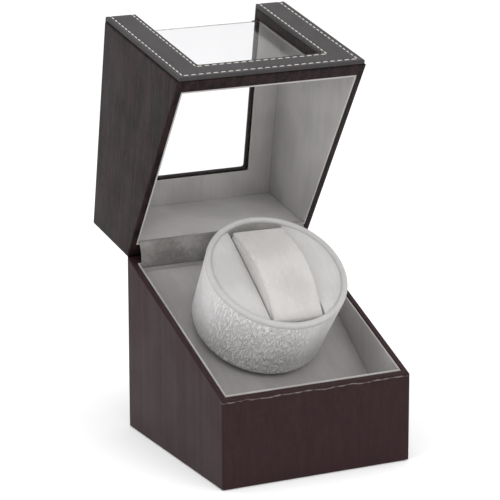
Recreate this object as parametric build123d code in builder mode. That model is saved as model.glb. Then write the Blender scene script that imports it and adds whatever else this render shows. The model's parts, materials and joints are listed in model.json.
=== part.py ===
from build123d import *
import math
import os

os.makedirs("parts", exist_ok=True)

# A single watch winder box. Millimetres. Origin at the centre of the footprint, on the surface it
# stands on; +Z up, the front faces -Y. The lid rests open, as far back as its hinge lets it.

# ------------------------------------------------------------------ driving dimensions: the box
width = 125.0
depth = 135.0
front_height = 55.0  # base, at the front
back_height = 110.0  # base, at the hinge
closed_height = 164.0
lid_open = 80.0  # degrees
corner_r = 1.2

# Wall make-up: leatherette skin, board, suede lining on card
skin = 0.8
lining = 1.3
side_board_t = 3.2
base_front_board_t = 3.2
base_back_board_t = 5.9
lid_front_board_t = 6.9
lid_top_board_t = 5.1
lid_rear_board_t = 7.9
parting_gap = 0.3
lining_seam = 0.1  # between neighbouring lining panels

# Window, which runs over the lid's front top edge, and the stitched frame around it
window_lift = 19.0  # lower edge above the parting line
window_back_strip = 27.3  # what is left of the top behind it
window_r = 2.5
pane_t = 1.5
pane_lap = 4.0
pane_clearance = 0.1
frame_margin = 1.0  # inside the box's sides
frame_strip = 20.2  # width of its two side strips
frame_lift = 0.9  # lower edge above the parting line
frame_back_margin = 4.0  # in front of the box's back
frame_front_t = 2.6
frame_top_t = 1.6

# Deck and drum, both square to one tilted axis
deck_front_height = 17.6  # deck above the ground, at the front lining
deck_back_drop = 5.5  # deck below the parting line, at the back lining
drum_setback = 44.4  # from the back lining to where the axis leaves the deck
deck_suede_t = 1.0
deck_board_t = 4.0
deck_hole_r = 9.0
drum_gap = 2.8  # between deck and drum
drum_depth = 49.7
drum_rim_r = 44.4
drum_base_r = 41.4
drum_foot_r = 3.0  # rounding at the bottom edge
drum_wrap_t = 0.8
drum_shell_t = 2.0
drum_lining_t = 1.0
drum_floor_t = 2.5
drum_rim_t = 3.4
glue = 0.05  # between curved faces that are glued together

# Cheeks and cushion
slot_half = 18.5
cheek_drop = 1.6  # cheek tops below the rim
cheek_r = 2.0
cushion_side_gap = 1.8
cushion_front_gap = 6.9  # inside the drum's rim radius
cushion_back_gap = 11.4
cushion_rise = 8.0
cushion_ends = -3.0
cushion_floor_gap = 0.4
cushion_wall_gap = 0.5
cushion_belly = 8.0  # how far the underside bulges below its ends
cushion_skin = 1.2
cushion_side_t = 1.0

# Hub, shaft and fits
running = 0.06
seat = 0.02
shaft_r = 3.0
stub_r = 1.5
hub_r = 7.0
hub_clear = 1.9  # hub to gearbox
hub_bolt_r = 1.25
hub_bolt_head_r = 3.0
hub_bolt_head_h = 1.0
hub_bolt_length = 8.0

# Gears
module = 0.6
wheel_teeth = 36
pinion_teeth = 12
gear_t = 3.0
pinion_t = 4.0
centre_slack = 0.15
tooth_share = 0.40  # tooth thickness as a share of the circular pitch
addendum = 0.8  # in modules
dedendum = 1.2
flank = 20.0  # degrees
axle_r = 1.0
axle_pocket = 1.0

# Gearbox
case_wall = 2.0
case_room = 16.0  # inside height
case_margin = 1.6  # between the gears and the case wall
flange_reach = 6.0
boss_r = 3.0
case_bolt_r = 1.0
case_bolt_head_r = 1.9
case_bolt_head_h = 1.2
case_bolt_length = 8.0
mount_bolt_r = 1.25
mount_bolt_head_r = 2.4
mount_bolt_head_h = 1.6
mount_bolt_length = 4.8
bush_flange_r = 5.5
bush_r = 4.6
bush_flange_t = 1.0
top_wheel_drop = 3.5  # first wheel below the case top
wheel_step = 4.0

# Motor
motor_r = 12.2
motor_length = 12.3
motor_wall = 0.8
motor_collar_r = 3.0
motor_collar_h = 1.4
motor_shaft_r = 1.0
motor_bolt_spacing = 16.0

# Bottom
felt_t = 0.8
felt_inset = 1.5
felt_hole_r = 4.2
bottom_t = 4.0
bottom_clearance = 0.15
block_size = 12.0
block_height = 5.0
wood_bolt_r = 1.5
wood_bolt_head_r = 3.0
wood_bolt_head_h = 1.6
wood_bolt_length = 8.0
cleat_width = 8.0
cleat_height = 6.0
cleat_end_gap = 14.0

# Hinges
hinge_places = (-36.0, 36.0)
hinge_length = 22.0
hinge_knuckle = 7.0  # each outer knuckle
hinge_side_gap = 0.2
hinge_barrel_r = 1.5
hinge_pin_r = 0.75
hinge_room = 0.35
leaf_t = 1.0
leaf_depth = 5.4
leaf_sink = 0.05
leaf_bolt_r = 0.9
leaf_bolt_head_r = 1.6
leaf_bolt_head_h = 0.7
leaf_bolt_length = 3.6
leaf_bolt_spacing = 12.0
flap_t = 0.8
flap_side_gap = 2.2
flap_tail = 2.6
flap_slack = 1.2
strip_t = 0.8
strip_side_gap = 5.5
strip_tail = 13.0
strip_bend = 5.0

# Rear plate, switches and DC inlet
plate_width = 62.0
plate_height = 24.0
plate_t = 1.6
plate_z = 27.0
plate_rim = 4.0  # plate beyond the cut-out behind it, above and below
plate_end_rim = 6.0  # and at its two ends
plate_bolt_inset = 2.4
control_spacing = 18.0
jack_r = 4.0
jack_depth = 12.0
jack_lip_r = 5.2
jack_lip_t = 1.0
jack_bore_r = 2.8
jack_bore_depth = 9.5
jack_pin_r = 1.0
jack_proud = 1.2
rocker_width = 13.6
rocker_height = 9.4
rocker_depth = 12.0
rocker_lip = 1.2
rocker_wall = 1.1
rocker_floor = 2.0
rocker_clearance = 0.15
rocker_throw = 14.0  # degrees between off and on
rocker_pivot_depth = 1.6  # pivot behind the lip's face
rocker_pivot_r = 0.8
rocker_nose = 2.6
rocker_end_rise = 1.5
rocker_keel = 4.5

# Control board
board_width = 50.0
board_depth = 34.0
board_t = 1.6
board_y = 32.0
chip_size = (12.0, 10.0, 2.2)
capacitor_r = 3.0
capacitor_height = 8.0
socket_size = (10.0, 6.0, 6.0)
board_part_spacing = 16.5

# ------------------------------------------------------------------ places worked out from them
far = 400.0  # longer than anything here: for cuts that run right through
front_y = -depth / 2
back_y = depth / 2
half_width = width / 2
slope = math.atan2(back_height - front_height, depth)
board_in = half_width - skin - side_board_t
lining_in = board_in - lining
base_front_in = front_y + skin + base_front_board_t
base_back_in = back_y - skin - base_back_board_t
lid_front_in = front_y + skin + lid_front_board_t
lid_rear_in = back_y - skin - lid_rear_board_t
lid_top_in = closed_height - skin - lid_top_board_t
frame_half = half_width - frame_margin
frame_low = front_height + frame_lift
window_half = frame_half - frame_strip
window_low = front_height + window_lift
window_back = back_y - window_back_strip
lining_front_y = base_front_in + lining
lining_back_y = base_back_in - lining
deck_back_height = front_height + (lining_back_y - front_y) * math.tan(slope) - deck_back_drop
lean = math.atan2(deck_back_height - deck_front_height, lining_back_y - lining_front_y)
foot_y = lining_back_y - drum_setback
foot_z = deck_front_height + (foot_y - lining_front_y) * math.tan(lean)
foot = (0, foot_y, foot_z)
up_axis = (0, -math.sin(lean), math.cos(lean))
up_slope = (0, math.cos(lean), math.sin(lean))
bottom_top = felt_t + bottom_t

deck_plane = Plane(origin=foot, x_dir=(1, 0, 0), z_dir=up_axis)
drum_axis = Axis(foot, up_axis)
# Half-section planes: x is the radius and y runs up the axis; or x runs up the slope
radial_plane = Plane(origin=foot, x_dir=(1, 0, 0), z_dir=(0, -math.cos(lean), -math.sin(lean)))
slope_plane = Plane(origin=foot, x_dir=up_slope, z_dir=(1, 0, 0))
rim_plane = Plane(
    origin=(0, back_y, back_height), x_dir=(1, 0, 0), z_dir=(0, -math.sin(slope), math.cos(slope))
)

hinge_place = Location((0, back_y, back_height))
open_turn = hinge_place * Location((0, 0, 0), (-lid_open, 0, 0)) * hinge_place.inverse()


def on_lid(plane):
    """A plane of the closed lid, turned with the lid to its open rest."""
    return Plane(open_turn * plane.location)


def rim_z(y, drop=0.0):
    """Height of the parting line at y, lowered by a drop measured square to it."""
    return front_height + (y - front_y) * math.tan(slope) - drop / math.cos(slope)


def deck_z(y, level=0.0):
    """Height at y of a plane parallel to the deck, level above its top."""
    return foot_z + (y - foot_y) * math.tan(lean) + level / math.cos(lean)


def base_outline(y_low, y_high, z_low, drop=0.0):
    """Side view of something in the base that reaches up to the parting line."""
    return [(y_low, z_low), (y_high, z_low), (y_high, rim_z(y_high, drop)), (y_low, rim_z(y_low, drop))]


def lid_outline(y_low, y_high, z_high, lift):
    """Side view, lid closed, of something in the lid that reaches down to the parting line."""
    return [(y_low, rim_z(y_low, -lift)), (y_high, rim_z(y_high, -lift)), (y_high, z_high), (y_low, z_high)]


def deck_outline(y_low, y_high, low, high):
    """Side view of a layer parallel to the deck, cut upright at both ends."""
    return [
        (y_low, deck_z(y_low, low)),
        (y_high, deck_z(y_high, low)),
        (y_high, deck_z(y_high, high)),
        (y_low, deck_z(y_low, high)),
    ]


def across(half):
    """The plane of a side view, placed so that a plate 2 * half thick is centred across the box."""
    return Plane.YZ.offset(-half)


def side_plane(side, inner, outer):
    """The plane of a side view, for a plate from x = inner to x = outer on one side."""
    return Plane.YZ.offset(inner if side > 0 else -outer)


def plate(plane, outline, thickness, mode=Mode.ADD):
    """A flat plate: corner points joined on a plane, thickened along its normal."""
    with BuildSketch(plane) as face:
        with BuildLine():
            Polyline(*outline, close=True)
        make_face()
    extrude(face.sketch, amount=thickness, mode=mode)


def block(plane, size_x, size_y, height, mode=Mode.ADD, spots=((0, 0),)):
    """Rectangular blocks standing on a plane."""
    with BuildSketch(plane) as face:
        with Locations(*spots):
            Rectangle(size_x, size_y)
    extrude(face.sketch, amount=height, mode=mode)


def rod(plane, radius, length, mode=Mode.ADD, spots=((0, 0),)):
    """Round bars standing on a plane."""
    with BuildSketch(plane) as face:
        with Locations(*spots):
            Circle(radius)
    extrude(face.sketch, amount=length, mode=mode)


def spin(outline, mode=Mode.ADD):
    """A shape turned about the drum's axis: points are (radius, height above the deck)."""
    with BuildSketch(radial_plane) as face:
        with BuildLine():
            Polyline(*outline, close=True)
        make_face()
    revolve(face.sketch, axis=drum_axis, mode=mode)


def bolts(plane, spots, head_r, head_h, shank_r, length):
    """Screws whose head seats are on the plane, with the shanks going down from it."""
    rod(plane, head_r, head_h, spots=spots)
    rod(plane.offset(-length), shank_r, length, spots=spots)


def flat_bolts(plane, spots, head_r, head_h, shank_r, length):
    """Countersunk screws whose heads are flush with the plane, going down from it."""
    rod(plane.offset(-length), shank_r, length, spots=spots)
    with BuildSketch(plane) as face:
        with Locations(*spots):
            Circle(head_r)
    extrude(face.sketch, amount=-head_h, taper=math.degrees(math.atan2(head_r - shank_r, head_h)))


def flat_bolt_holes(plane, spots, head_r, head_h, shank_r, length):
    """The holes for those screws, with a clearance all round."""
    rod(plane.offset(-length), shank_r + seat, length, mode=Mode.SUBTRACT, spots=spots)
    with BuildSketch(plane) as face:
        with Locations(*spots):
            Circle(head_r + seat)
    taper = math.degrees(math.atan2(head_r - shank_r, head_h))
    extrude(face.sketch, amount=-head_h, taper=taper, mode=Mode.SUBTRACT)


def corners(half_x, half_y):
    """The four corner spots of a rectangle centred on a plane."""
    return [(-half_x, -half_y), (half_x, -half_y), (half_x, half_y), (-half_x, half_y)]


# Hinge cut-outs, shared by the skins and the back boards: room for the knuckles and for one leaf
leaf_bolt_y = -leaf_depth / 2 - hinge_barrel_r / 2
leaf_spots = [
    (place + end * leaf_bolt_spacing / 2, leaf_bolt_y) for place in hinge_places for end in (-1, 1)
]


def hinge_cuts(level, thickness, turned):
    """Cut the room for knuckles and leaves; level is the leaf's lower face from the parting plane."""
    for place in hinge_places:
        knuckles = Plane(
            origin=(place - hinge_length / 2 - hinge_room, back_y, back_height), z_dir=(1, 0, 0)
        )
        rod(
            turned(knuckles),
            hinge_barrel_r + hinge_room,
            hinge_length + 2 * hinge_room,
            mode=Mode.SUBTRACT,
        )
    block(
        turned(rim_plane.offset(level)),
        hinge_length + 2 * hinge_room,
        2 * (leaf_depth + hinge_room),
        thickness,
        mode=Mode.SUBTRACT,
        spots=[(place, 0) for place in hinge_places],
    )


def stays(plane):
    """A plane of the base, which doesn't turn."""
    return plane


base_leaf_level = -leaf_sink - leaf_t
lid_leaf_level = parting_gap + leaf_sink
base_leaf_face = rim_plane.offset(-leaf_sink)
lid_leaf_face = on_lid(Plane(rim_plane.offset(lid_leaf_level).location * Location((0, 0, 0), (180, 0, 0))))
# Seen from below, the lid's leaf face has its y turned round
lid_leaf_spots = [(x, -y) for x, y in leaf_spots]

# Rear plate: its cut-out and its screws, on the plane of the base's back face
back_plane = Plane(origin=(0, back_y, plate_z), x_dir=(1, 0, 0), z_dir=(0, -1, 0))
plate_face = Plane(origin=(0, back_y + plate_t, plate_z), x_dir=(-1, 0, 0), z_dir=(0, 1, 0))
plate_spots = corners(plate_width / 2 - plate_bolt_inset, plate_height / 2 - plate_bolt_inset)
cutout_width = plate_width - 2 * plate_end_rim
cutout_height = plate_height - 2 * plate_rim


def rear_cuts():
    """Cut the opening behind the rear plate, and its screw holes."""
    block(back_plane, cutout_width, cutout_height, skin + base_back_board_t, mode=Mode.SUBTRACT)
    rod(
        plate_face.offset(-case_bolt_length),
        case_bolt_r + seat,
        case_bolt_length,
        mode=Mode.SUBTRACT,
        spots=plate_spots,
    )


# ------------------------------------------------------------------ base: skin, boards, linings
with BuildPart() as base_leather:
    plate(across(half_width), base_outline(front_y, back_y, felt_t), width)
    fillet(base_leather.edges().filter_by(Axis.Z), corner_r)
    plate(
        across(half_width - skin),
        base_outline(front_y + skin, back_y - skin, felt_t, skin),
        width - 2 * skin,
        mode=Mode.SUBTRACT,
    )
    plate(
        across(board_in),
        base_outline(base_front_in, base_back_in, felt_t, -far),
        2 * board_in,
        mode=Mode.SUBTRACT,
    )
    hinge_cuts(base_leaf_level, leaf_t + leaf_sink, stays)
    rear_cuts()
base_leather.part.label = "base_leather"
export_step(base_leather.part, "parts/base_leather.step")

with BuildPart() as base_side_boards:
    for side in (-1, 1):
        plate(
            side_plane(side, board_in, half_width - skin),
            base_outline(front_y + skin, back_y - skin, felt_t, skin),
            side_board_t,
        )
base_side_boards.part.label = "base_side_boards"
export_step(base_side_boards.part, "parts/base_side_boards.step")

with BuildPart() as base_front_board:
    plate(across(board_in), base_outline(front_y + skin, base_front_in, felt_t, skin), 2 * board_in)
base_front_board.part.label = "base_front_board"
export_step(base_front_board.part, "parts/base_front_board.step")

with BuildPart() as base_back_board:
    plate(across(board_in), base_outline(base_back_in, back_y - skin, felt_t, skin), 2 * board_in)
    hinge_cuts(base_leaf_level, leaf_t + leaf_sink, stays)
    rod(
        base_leaf_face.offset(-leaf_bolt_length),
        leaf_bolt_r + seat,
        leaf_bolt_length,
        mode=Mode.SUBTRACT,
        spots=leaf_spots,
    )
    rear_cuts()
base_back_board.part.label = "base_back_board"
export_step(base_back_board.part, "parts/base_back_board.step")


def lining_outline(y_low, y_high):
    """Side view of a lining panel that stands on the deck and reaches the parting line."""
    return [(y_low, deck_z(y_low)), (y_high, deck_z(y_high)), (y_high, rim_z(y_high)), (y_low, rim_z(y_low))]


with BuildPart() as base_linings:
    for side in (-1, 1):
        side_run = lining_outline(lining_front_y + lining_seam, lining_back_y - lining_seam)
        plate(side_plane(side, lining_in, board_in), side_run, lining)
    plate(across(board_in), lining_outline(base_front_in, lining_front_y), 2 * board_in)
    plate(across(board_in), lining_outline(lining_back_y, base_back_in), 2 * board_in)
base_linings.part.label = "base_linings"
export_step(base_linings.part, "parts/base_linings.step")

# ------------------------------------------------------------------ deck
case_top = -deck_suede_t - deck_board_t
centre_distance = module * (wheel_teeth + pinion_teeth) / 2 + centre_slack
tip_r = module * (wheel_teeth / 2 + addendum)
case_low_u = -centre_distance - tip_r - case_margin - case_wall
case_high_u = tip_r + case_margin + case_wall
case_mid = (case_low_u + case_high_u) / 2
case_size = case_high_u - case_low_u
flange_spot = case_size / 2 + flange_reach / 2
mount_spots = [(case_mid + x, case_mid + y) for x, y in corners(flange_spot, flange_spot)]

with BuildPart() as deck_suede:
    plate(across(board_in), deck_outline(base_front_in, base_back_in, -deck_suede_t, 0), 2 * board_in)
    rod(deck_plane.offset(-deck_suede_t), deck_hole_r, deck_suede_t, mode=Mode.SUBTRACT)
deck_suede.part.label = "deck_suede"
export_step(deck_suede.part, "parts/deck_suede.step")

with BuildPart() as deck_board:
    plate(
        across(board_in),
        deck_outline(base_front_in, base_back_in, case_top, -deck_suede_t),
        2 * board_in,
    )
    rod(deck_plane.offset(case_top), deck_hole_r, deck_board_t, mode=Mode.SUBTRACT)
    rod(
        deck_plane.offset(case_top),
        mount_bolt_r + seat,
        mount_bolt_length - case_wall,
        mode=Mode.SUBTRACT,
        spots=mount_spots,
    )
deck_board.part.label = "deck_board"
export_step(deck_board.part, "parts/deck_board.step")

# ------------------------------------------------------------------ bottom
panel_half = board_in - bottom_clearance
panel_front = base_front_in + bottom_clearance
panel_back = base_back_in - bottom_clearance
panel_mid = (panel_front + panel_back) / 2
under_plane = Plane(origin=(0, panel_mid, felt_t), x_dir=(1, 0, 0), z_dir=(0, 0, -1))
block_spots = corners(panel_half - block_size / 2, (panel_back - panel_front - block_size) / 2)
bolt_args = (wood_bolt_head_r, wood_bolt_head_h, wood_bolt_r, wood_bolt_length)

with BuildPart() as bottom_felt:
    block(Plane.XY, width - 2 * felt_inset, depth - 2 * felt_inset, felt_t)
    rod(under_plane, felt_hole_r, felt_t, mode=Mode.SUBTRACT, spots=block_spots)
bottom_felt.part.label = "bottom_felt"
export_step(bottom_felt.part, "parts/bottom_felt.step")

with BuildPart() as bottom_panel:
    block(under_plane.offset(-bottom_t), 2 * panel_half, panel_back - panel_front, bottom_t)
    flat_bolt_holes(under_plane, block_spots, *bolt_args)
bottom_panel.part.label = "bottom_panel"
export_step(bottom_panel.part, "parts/bottom_panel.step")

with BuildPart() as wood_blocks:
    block_plane = under_plane.offset(-bottom_t - block_height)
    block(block_plane, block_size, block_size, block_height, spots=block_spots)
    flat_bolt_holes(under_plane, block_spots, *bolt_args)
    for side in (-1, 1):
        plate(
            side_plane(side, board_in - cleat_width, board_in),
            deck_outline(
                base_front_in + cleat_end_gap, base_back_in - cleat_end_gap, case_top - cleat_height, case_top
            ),
            cleat_width,
        )
wood_blocks.part.label = "wood_blocks"
export_step(wood_blocks.part, "parts/wood_blocks.step")

with BuildPart() as bottom_screws:
    flat_bolts(under_plane, block_spots, *bolt_args)
bottom_screws.part.label = "bottom_screws"
export_step(bottom_screws.part, "parts/bottom_screws.step")

# ------------------------------------------------------------------ lid: skin, boards, linings
pane_front_y = lid_front_in - pane_t  # outer face of the front pane
pane_top_z = lid_top_in + pane_t  # outer face of the top pane


def front_window(y_inner, run, grow, mode):
    """The window's outline on the lid's front, from y_inner outward by run."""
    low = window_low - grow
    with BuildSketch(on_lid(Plane.XZ.offset(-y_inner))) as face:
        with Locations((0, (low + closed_height) / 2)):
            Rectangle(2 * (window_half + grow), closed_height - low)
        fillet(face.vertices().group_by(Axis.Y)[0], window_r + grow)
    extrude(face.sketch, amount=run, mode=mode)


def top_window(z_inner, run, grow, mode):
    """The window's outline on the lid's top, from z_inner upward by run."""
    back = window_back + grow
    with BuildSketch(on_lid(Plane.XY.offset(z_inner))) as face:
        with Locations((0, (front_y + back) / 2)):
            Rectangle(2 * (window_half + grow), back - front_y)
        fillet(face.vertices().group_by(Axis.Y)[-1], window_r + grow)
    extrude(face.sketch, amount=run, mode=mode)


front_reveal = pane_front_y - front_y
top_reveal = closed_height - pane_top_z

with BuildPart() as lid_leather:
    plate(on_lid(across(half_width)), lid_outline(front_y, back_y, closed_height, parting_gap), width)
    rim_face = lid_leather.faces().filter_by(on_lid(rim_plane))[0]
    fillet(lid_leather.edges() - rim_face.edges(), corner_r)
    plate(
        on_lid(across(half_width - skin)),
        lid_outline(front_y + skin, back_y - skin, closed_height - skin, parting_gap + skin),
        width - 2 * skin,
        mode=Mode.SUBTRACT,
    )
    plate(
        on_lid(across(board_in)),
        lid_outline(lid_front_in, lid_rear_in, lid_top_in, -far),
        2 * board_in,
        mode=Mode.SUBTRACT,
    )
    front_window(front_y + skin, skin, skin, Mode.SUBTRACT)
    top_window(closed_height - skin, skin, skin, Mode.SUBTRACT)
    front_window(pane_front_y, front_reveal, skin, Mode.ADD)
    top_window(pane_top_z, top_reveal, skin, Mode.ADD)
    plate(
        on_lid(across(window_half)),
        [
            (front_y, window_low + window_r),
            (pane_front_y, window_low + window_r),
            (pane_front_y, pane_top_z),
            (window_back - window_r, pane_top_z),
            (window_back - window_r, closed_height),
            (front_y, closed_height),
        ],
        2 * window_half,
        mode=Mode.SUBTRACT,
    )
    front_window(pane_front_y, front_reveal, 0, Mode.SUBTRACT)
    top_window(pane_top_z, top_reveal, 0, Mode.SUBTRACT)
    hinge_cuts(parting_gap, leaf_t + leaf_sink, on_lid)
lid_leather.part.label = "lid_leather"
export_step(lid_leather.part, "parts/lid_leather.step")

with BuildPart() as lid_side_boards:
    for side in (-1, 1):
        plate(
            on_lid(side_plane(side, board_in, half_width - skin)),
            lid_outline(front_y + skin, back_y - skin, closed_height - skin, parting_gap + skin),
            side_board_t,
        )
lid_side_boards.part.label = "lid_side_boards"
export_step(lid_side_boards.part, "parts/lid_side_boards.step")

pane_half = window_half + pane_lap
rabbet_half = pane_half + pane_clearance

with BuildPart() as lid_front_board:
    plate(
        on_lid(across(board_in)),
        lid_outline(front_y + skin, lid_front_in, lid_top_in, parting_gap + skin),
        2 * board_in,
    )
    front_window(lid_front_in, far, skin, Mode.SUBTRACT)
    plate(
        on_lid(across(rabbet_half)),
        [
            (pane_front_y, window_low - pane_lap - pane_clearance),
            (lid_front_in, window_low - pane_lap - pane_clearance),
            (lid_front_in, lid_top_in),
            (pane_front_y, lid_top_in),
        ],
        2 * rabbet_half,
        mode=Mode.SUBTRACT,
    )
lid_front_board.part.label = "lid_front_board"
export_step(lid_front_board.part, "parts/lid_front_board.step")

with BuildPart() as lid_top_board:
    plate(
        on_lid(across(board_in)),
        [
            (front_y + skin, lid_top_in),
            (back_y - skin, lid_top_in),
            (back_y - skin, closed_height - skin),
            (front_y + skin, closed_height - skin),
        ],
        2 * board_in,
    )
    top_window(lid_top_in, far, skin, Mode.SUBTRACT)
    plate(
        on_lid(across(rabbet_half)),
        [
            (pane_front_y - pane_clearance, lid_top_in),
            (window_back + pane_lap + pane_clearance, lid_top_in),
            (window_back + pane_lap + pane_clearance, pane_top_z),
            (pane_front_y - pane_clearance, pane_top_z),
        ],
        2 * rabbet_half,
        mode=Mode.SUBTRACT,
    )
lid_top_board.part.label = "lid_top_board"
export_step(lid_top_board.part, "parts/lid_top_board.step")

with BuildPart() as lid_rear_board:
    plate(
        on_lid(across(board_in)),
        lid_outline(lid_rear_in, back_y - skin, lid_top_in, parting_gap + skin),
        2 * board_in,
    )
    hinge_cuts(parting_gap, leaf_t + leaf_sink, on_lid)
    rod(
        lid_leaf_face.offset(-leaf_bolt_length),
        leaf_bolt_r + seat,
        leaf_bolt_length,
        mode=Mode.SUBTRACT,
        spots=lid_leaf_spots,
    )
lid_rear_board.part.label = "lid_rear_board"
export_step(lid_rear_board.part, "parts/lid_rear_board.step")

with BuildPart() as window_front_pane:
    plate(
        on_lid(across(pane_half)),
        [
            (pane_front_y, window_low - pane_lap),
            (lid_front_in, window_low - pane_lap),
            (lid_front_in, lid_top_in),
            (pane_front_y, lid_top_in),
        ],
        2 * pane_half,
    )
window_front_pane.part.label = "window_front_pane"
export_step(window_front_pane.part, "parts/window_front_pane.step")

with BuildPart() as window_top_pane:
    plate(
        on_lid(across(pane_half)),
        [
            (pane_front_y, lid_top_in),
            (window_back + pane_lap, lid_top_in),
            (window_back + pane_lap, pane_top_z),
            (pane_front_y, pane_top_z),
        ],
        2 * pane_half,
    )
window_top_pane.part.label = "window_top_pane"
export_step(window_top_pane.part, "parts/window_top_pane.step")

lining_lid_front = lid_front_in + lining
lining_lid_rear = lid_rear_in - lining
lining_lid_top = lid_top_in - lining
with BuildPart() as lid_side_linings:
    for side in (-1, 1):
        plate(
            on_lid(side_plane(side, lining_in, board_in)),
            lid_outline(lining_lid_front, lining_lid_rear, lining_lid_top, parting_gap),
            lining,
        )
lid_side_linings.part.label = "lid_side_linings"
export_step(lid_side_linings.part, "parts/lid_side_linings.step")

with BuildPart() as lid_front_lining:
    plate(
        on_lid(across(board_in)),
        lid_outline(lid_front_in, lining_lid_front, lid_top_in, parting_gap),
        2 * board_in,
    )
    plate(
        on_lid(across(window_half)),
        [
            (lid_front_in, window_low),
            (lining_lid_front, window_low),
            (lining_lid_front, lid_top_in),
            (lid_front_in, lid_top_in),
        ],
        2 * window_half,
        mode=Mode.SUBTRACT,
    )
lid_front_lining.part.label = "lid_front_lining"
export_step(lid_front_lining.part, "parts/lid_front_lining.step")

with BuildPart() as lid_top_lining:
    plate(
        on_lid(across(board_in)),
        [
            (lining_lid_front, lining_lid_top),
            (lid_rear_in, lining_lid_top),
            (lid_rear_in, lid_top_in),
            (lining_lid_front, lid_top_in),
        ],
        2 * board_in,
    )
    plate(
        on_lid(across(window_half)),
        [
            (lining_lid_front, lining_lid_top),
            (window_back, lining_lid_top),
            (window_back, lid_top_in),
            (lining_lid_front, lid_top_in),
        ],
        2 * window_half,
        mode=Mode.SUBTRACT,
    )
lid_top_lining.part.label = "lid_top_lining"
export_step(lid_top_lining.part, "parts/lid_top_lining.step")

with BuildPart() as lid_rear_lining:
    plate(
        on_lid(across(board_in)),
        lid_outline(lining_lid_rear, lid_rear_in, lining_lid_top, parting_gap),
        2 * board_in,
    )
lid_rear_lining.part.label = "lid_rear_lining"
export_step(lid_rear_lining.part, "parts/lid_rear_lining.step")

# The stitched frame: one U on the front face, carried over the edge by another on the top face
with BuildPart() as frame_front:
    plate(
        on_lid(Plane.XZ.offset(-front_y)),
        [
            (-frame_half, frame_low),
            (frame_half, frame_low),
            (frame_half, closed_height + frame_top_t),
            (window_half, closed_height + frame_top_t),
            (window_half, window_low),
            (-window_half, window_low),
            (-window_half, closed_height + frame_top_t),
            (-frame_half, closed_height + frame_top_t),
        ],
        frame_front_t,
    )
frame_front.part.label = "frame_front"
export_step(frame_front.part, "parts/frame_front.step")

with BuildPart() as frame_top:
    plate(
        on_lid(Plane.XY.offset(closed_height)),
        [
            (-frame_half, front_y),
            (-window_half, front_y),
            (-window_half, window_back),
            (window_half, window_back),
            (window_half, front_y),
            (frame_half, front_y),
            (frame_half, back_y - frame_back_margin),
            (-frame_half, back_y - frame_back_margin),
        ],
        frame_top_t,
    )
frame_top.part.label = "frame_top"
export_step(frame_top.part, "parts/frame_top.step")

# ------------------------------------------------------------------ hinges and what covers them
outer_knuckle = hinge_length / 2 - hinge_knuckle


def knuckles(turned, spans):
    """Barrels about the hinge axis over the given spans, at both hinges."""
    for place in hinge_places:
        for start, end in spans:
            barrel = Plane(origin=(place + start, back_y, back_height), z_dir=(1, 0, 0))
            rod(turned(barrel), hinge_barrel_r, end - start)


def leaves(turned, level, spans):
    """Flat leaves against the parting plane, carried to the barrel at the knuckles only."""
    block(
        turned(rim_plane.offset(level)),
        hinge_length,
        leaf_depth - hinge_barrel_r - hinge_room,
        leaf_t,
        spots=[(place, -(leaf_depth + hinge_barrel_r + hinge_room) / 2) for place in hinge_places],
    )
    for start, end in spans:
        block(
            turned(rim_plane.offset(level)),
            end - start,
            leaf_depth,
            leaf_t,
            spots=[(place + (start + end) / 2, -leaf_depth / 2) for place in hinge_places],
        )


def pin_bores(turned):
    """Bore the knuckles for the pins."""
    for place in hinge_places:
        end = Plane(origin=(place - hinge_length / 2, back_y, back_height), z_dir=(1, 0, 0))
        rod(turned(end), hinge_pin_r + running, hinge_length, mode=Mode.SUBTRACT)


base_spans = ((-hinge_length / 2, -outer_knuckle), (outer_knuckle, hinge_length / 2))
lid_spans = ((-outer_knuckle + hinge_side_gap, outer_knuckle - hinge_side_gap),)
leaf_bolt_args = (leaf_bolt_head_r, leaf_bolt_head_h, leaf_bolt_r, leaf_bolt_length)

with BuildPart() as hinge_base_leaves:
    knuckles(stays, base_spans)
    leaves(stays, base_leaf_level, base_spans)
    pin_bores(stays)
    flat_bolt_holes(base_leaf_face, leaf_spots, *leaf_bolt_args)
hinge_base_leaves.part.label = "hinge_base_leaves"
export_step(hinge_base_leaves.part, "parts/hinge_base_leaves.step")

with BuildPart() as hinge_lid_leaves:
    knuckles(on_lid, lid_spans)
    leaves(on_lid, lid_leaf_level, lid_spans)
    pin_bores(on_lid)
    flat_bolt_holes(lid_leaf_face, lid_leaf_spots, *leaf_bolt_args)
hinge_lid_leaves.part.label = "hinge_lid_leaves"
export_step(hinge_lid_leaves.part, "parts/hinge_lid_leaves.step")

with BuildPart() as hinge_pins:
    for place in hinge_places:
        end = Plane(origin=(place - hinge_length / 2, back_y, back_height), z_dir=(1, 0, 0))
        rod(end, hinge_pin_r, hinge_length)
hinge_pins.part.label = "hinge_pins"
export_step(hinge_pins.part, "parts/hinge_pins.step")

with BuildPart() as hinge_base_screws:
    flat_bolts(base_leaf_face, leaf_spots, *leaf_bolt_args)
hinge_base_screws.part.label = "hinge_base_screws"
export_step(hinge_base_screws.part, "parts/hinge_base_screws.step")

with BuildPart() as hinge_lid_screws:
    flat_bolts(lid_leaf_face, lid_leaf_spots, *leaf_bolt_args)
hinge_lid_screws.part.label = "hinge_lid_screws"
export_step(hinge_lid_screws.part, "parts/hinge_lid_screws.step")


def opened(y, z):
    """Where a point of the closed lid's side view lies when the lid rests open."""
    turn = math.radians(lid_open)
    reach = y - back_y
    rise = z - back_height
    return (
        back_y + reach * math.cos(turn) + rise * math.sin(turn),
        back_height - reach * math.sin(turn) + rise * math.cos(turn),
    )


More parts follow.
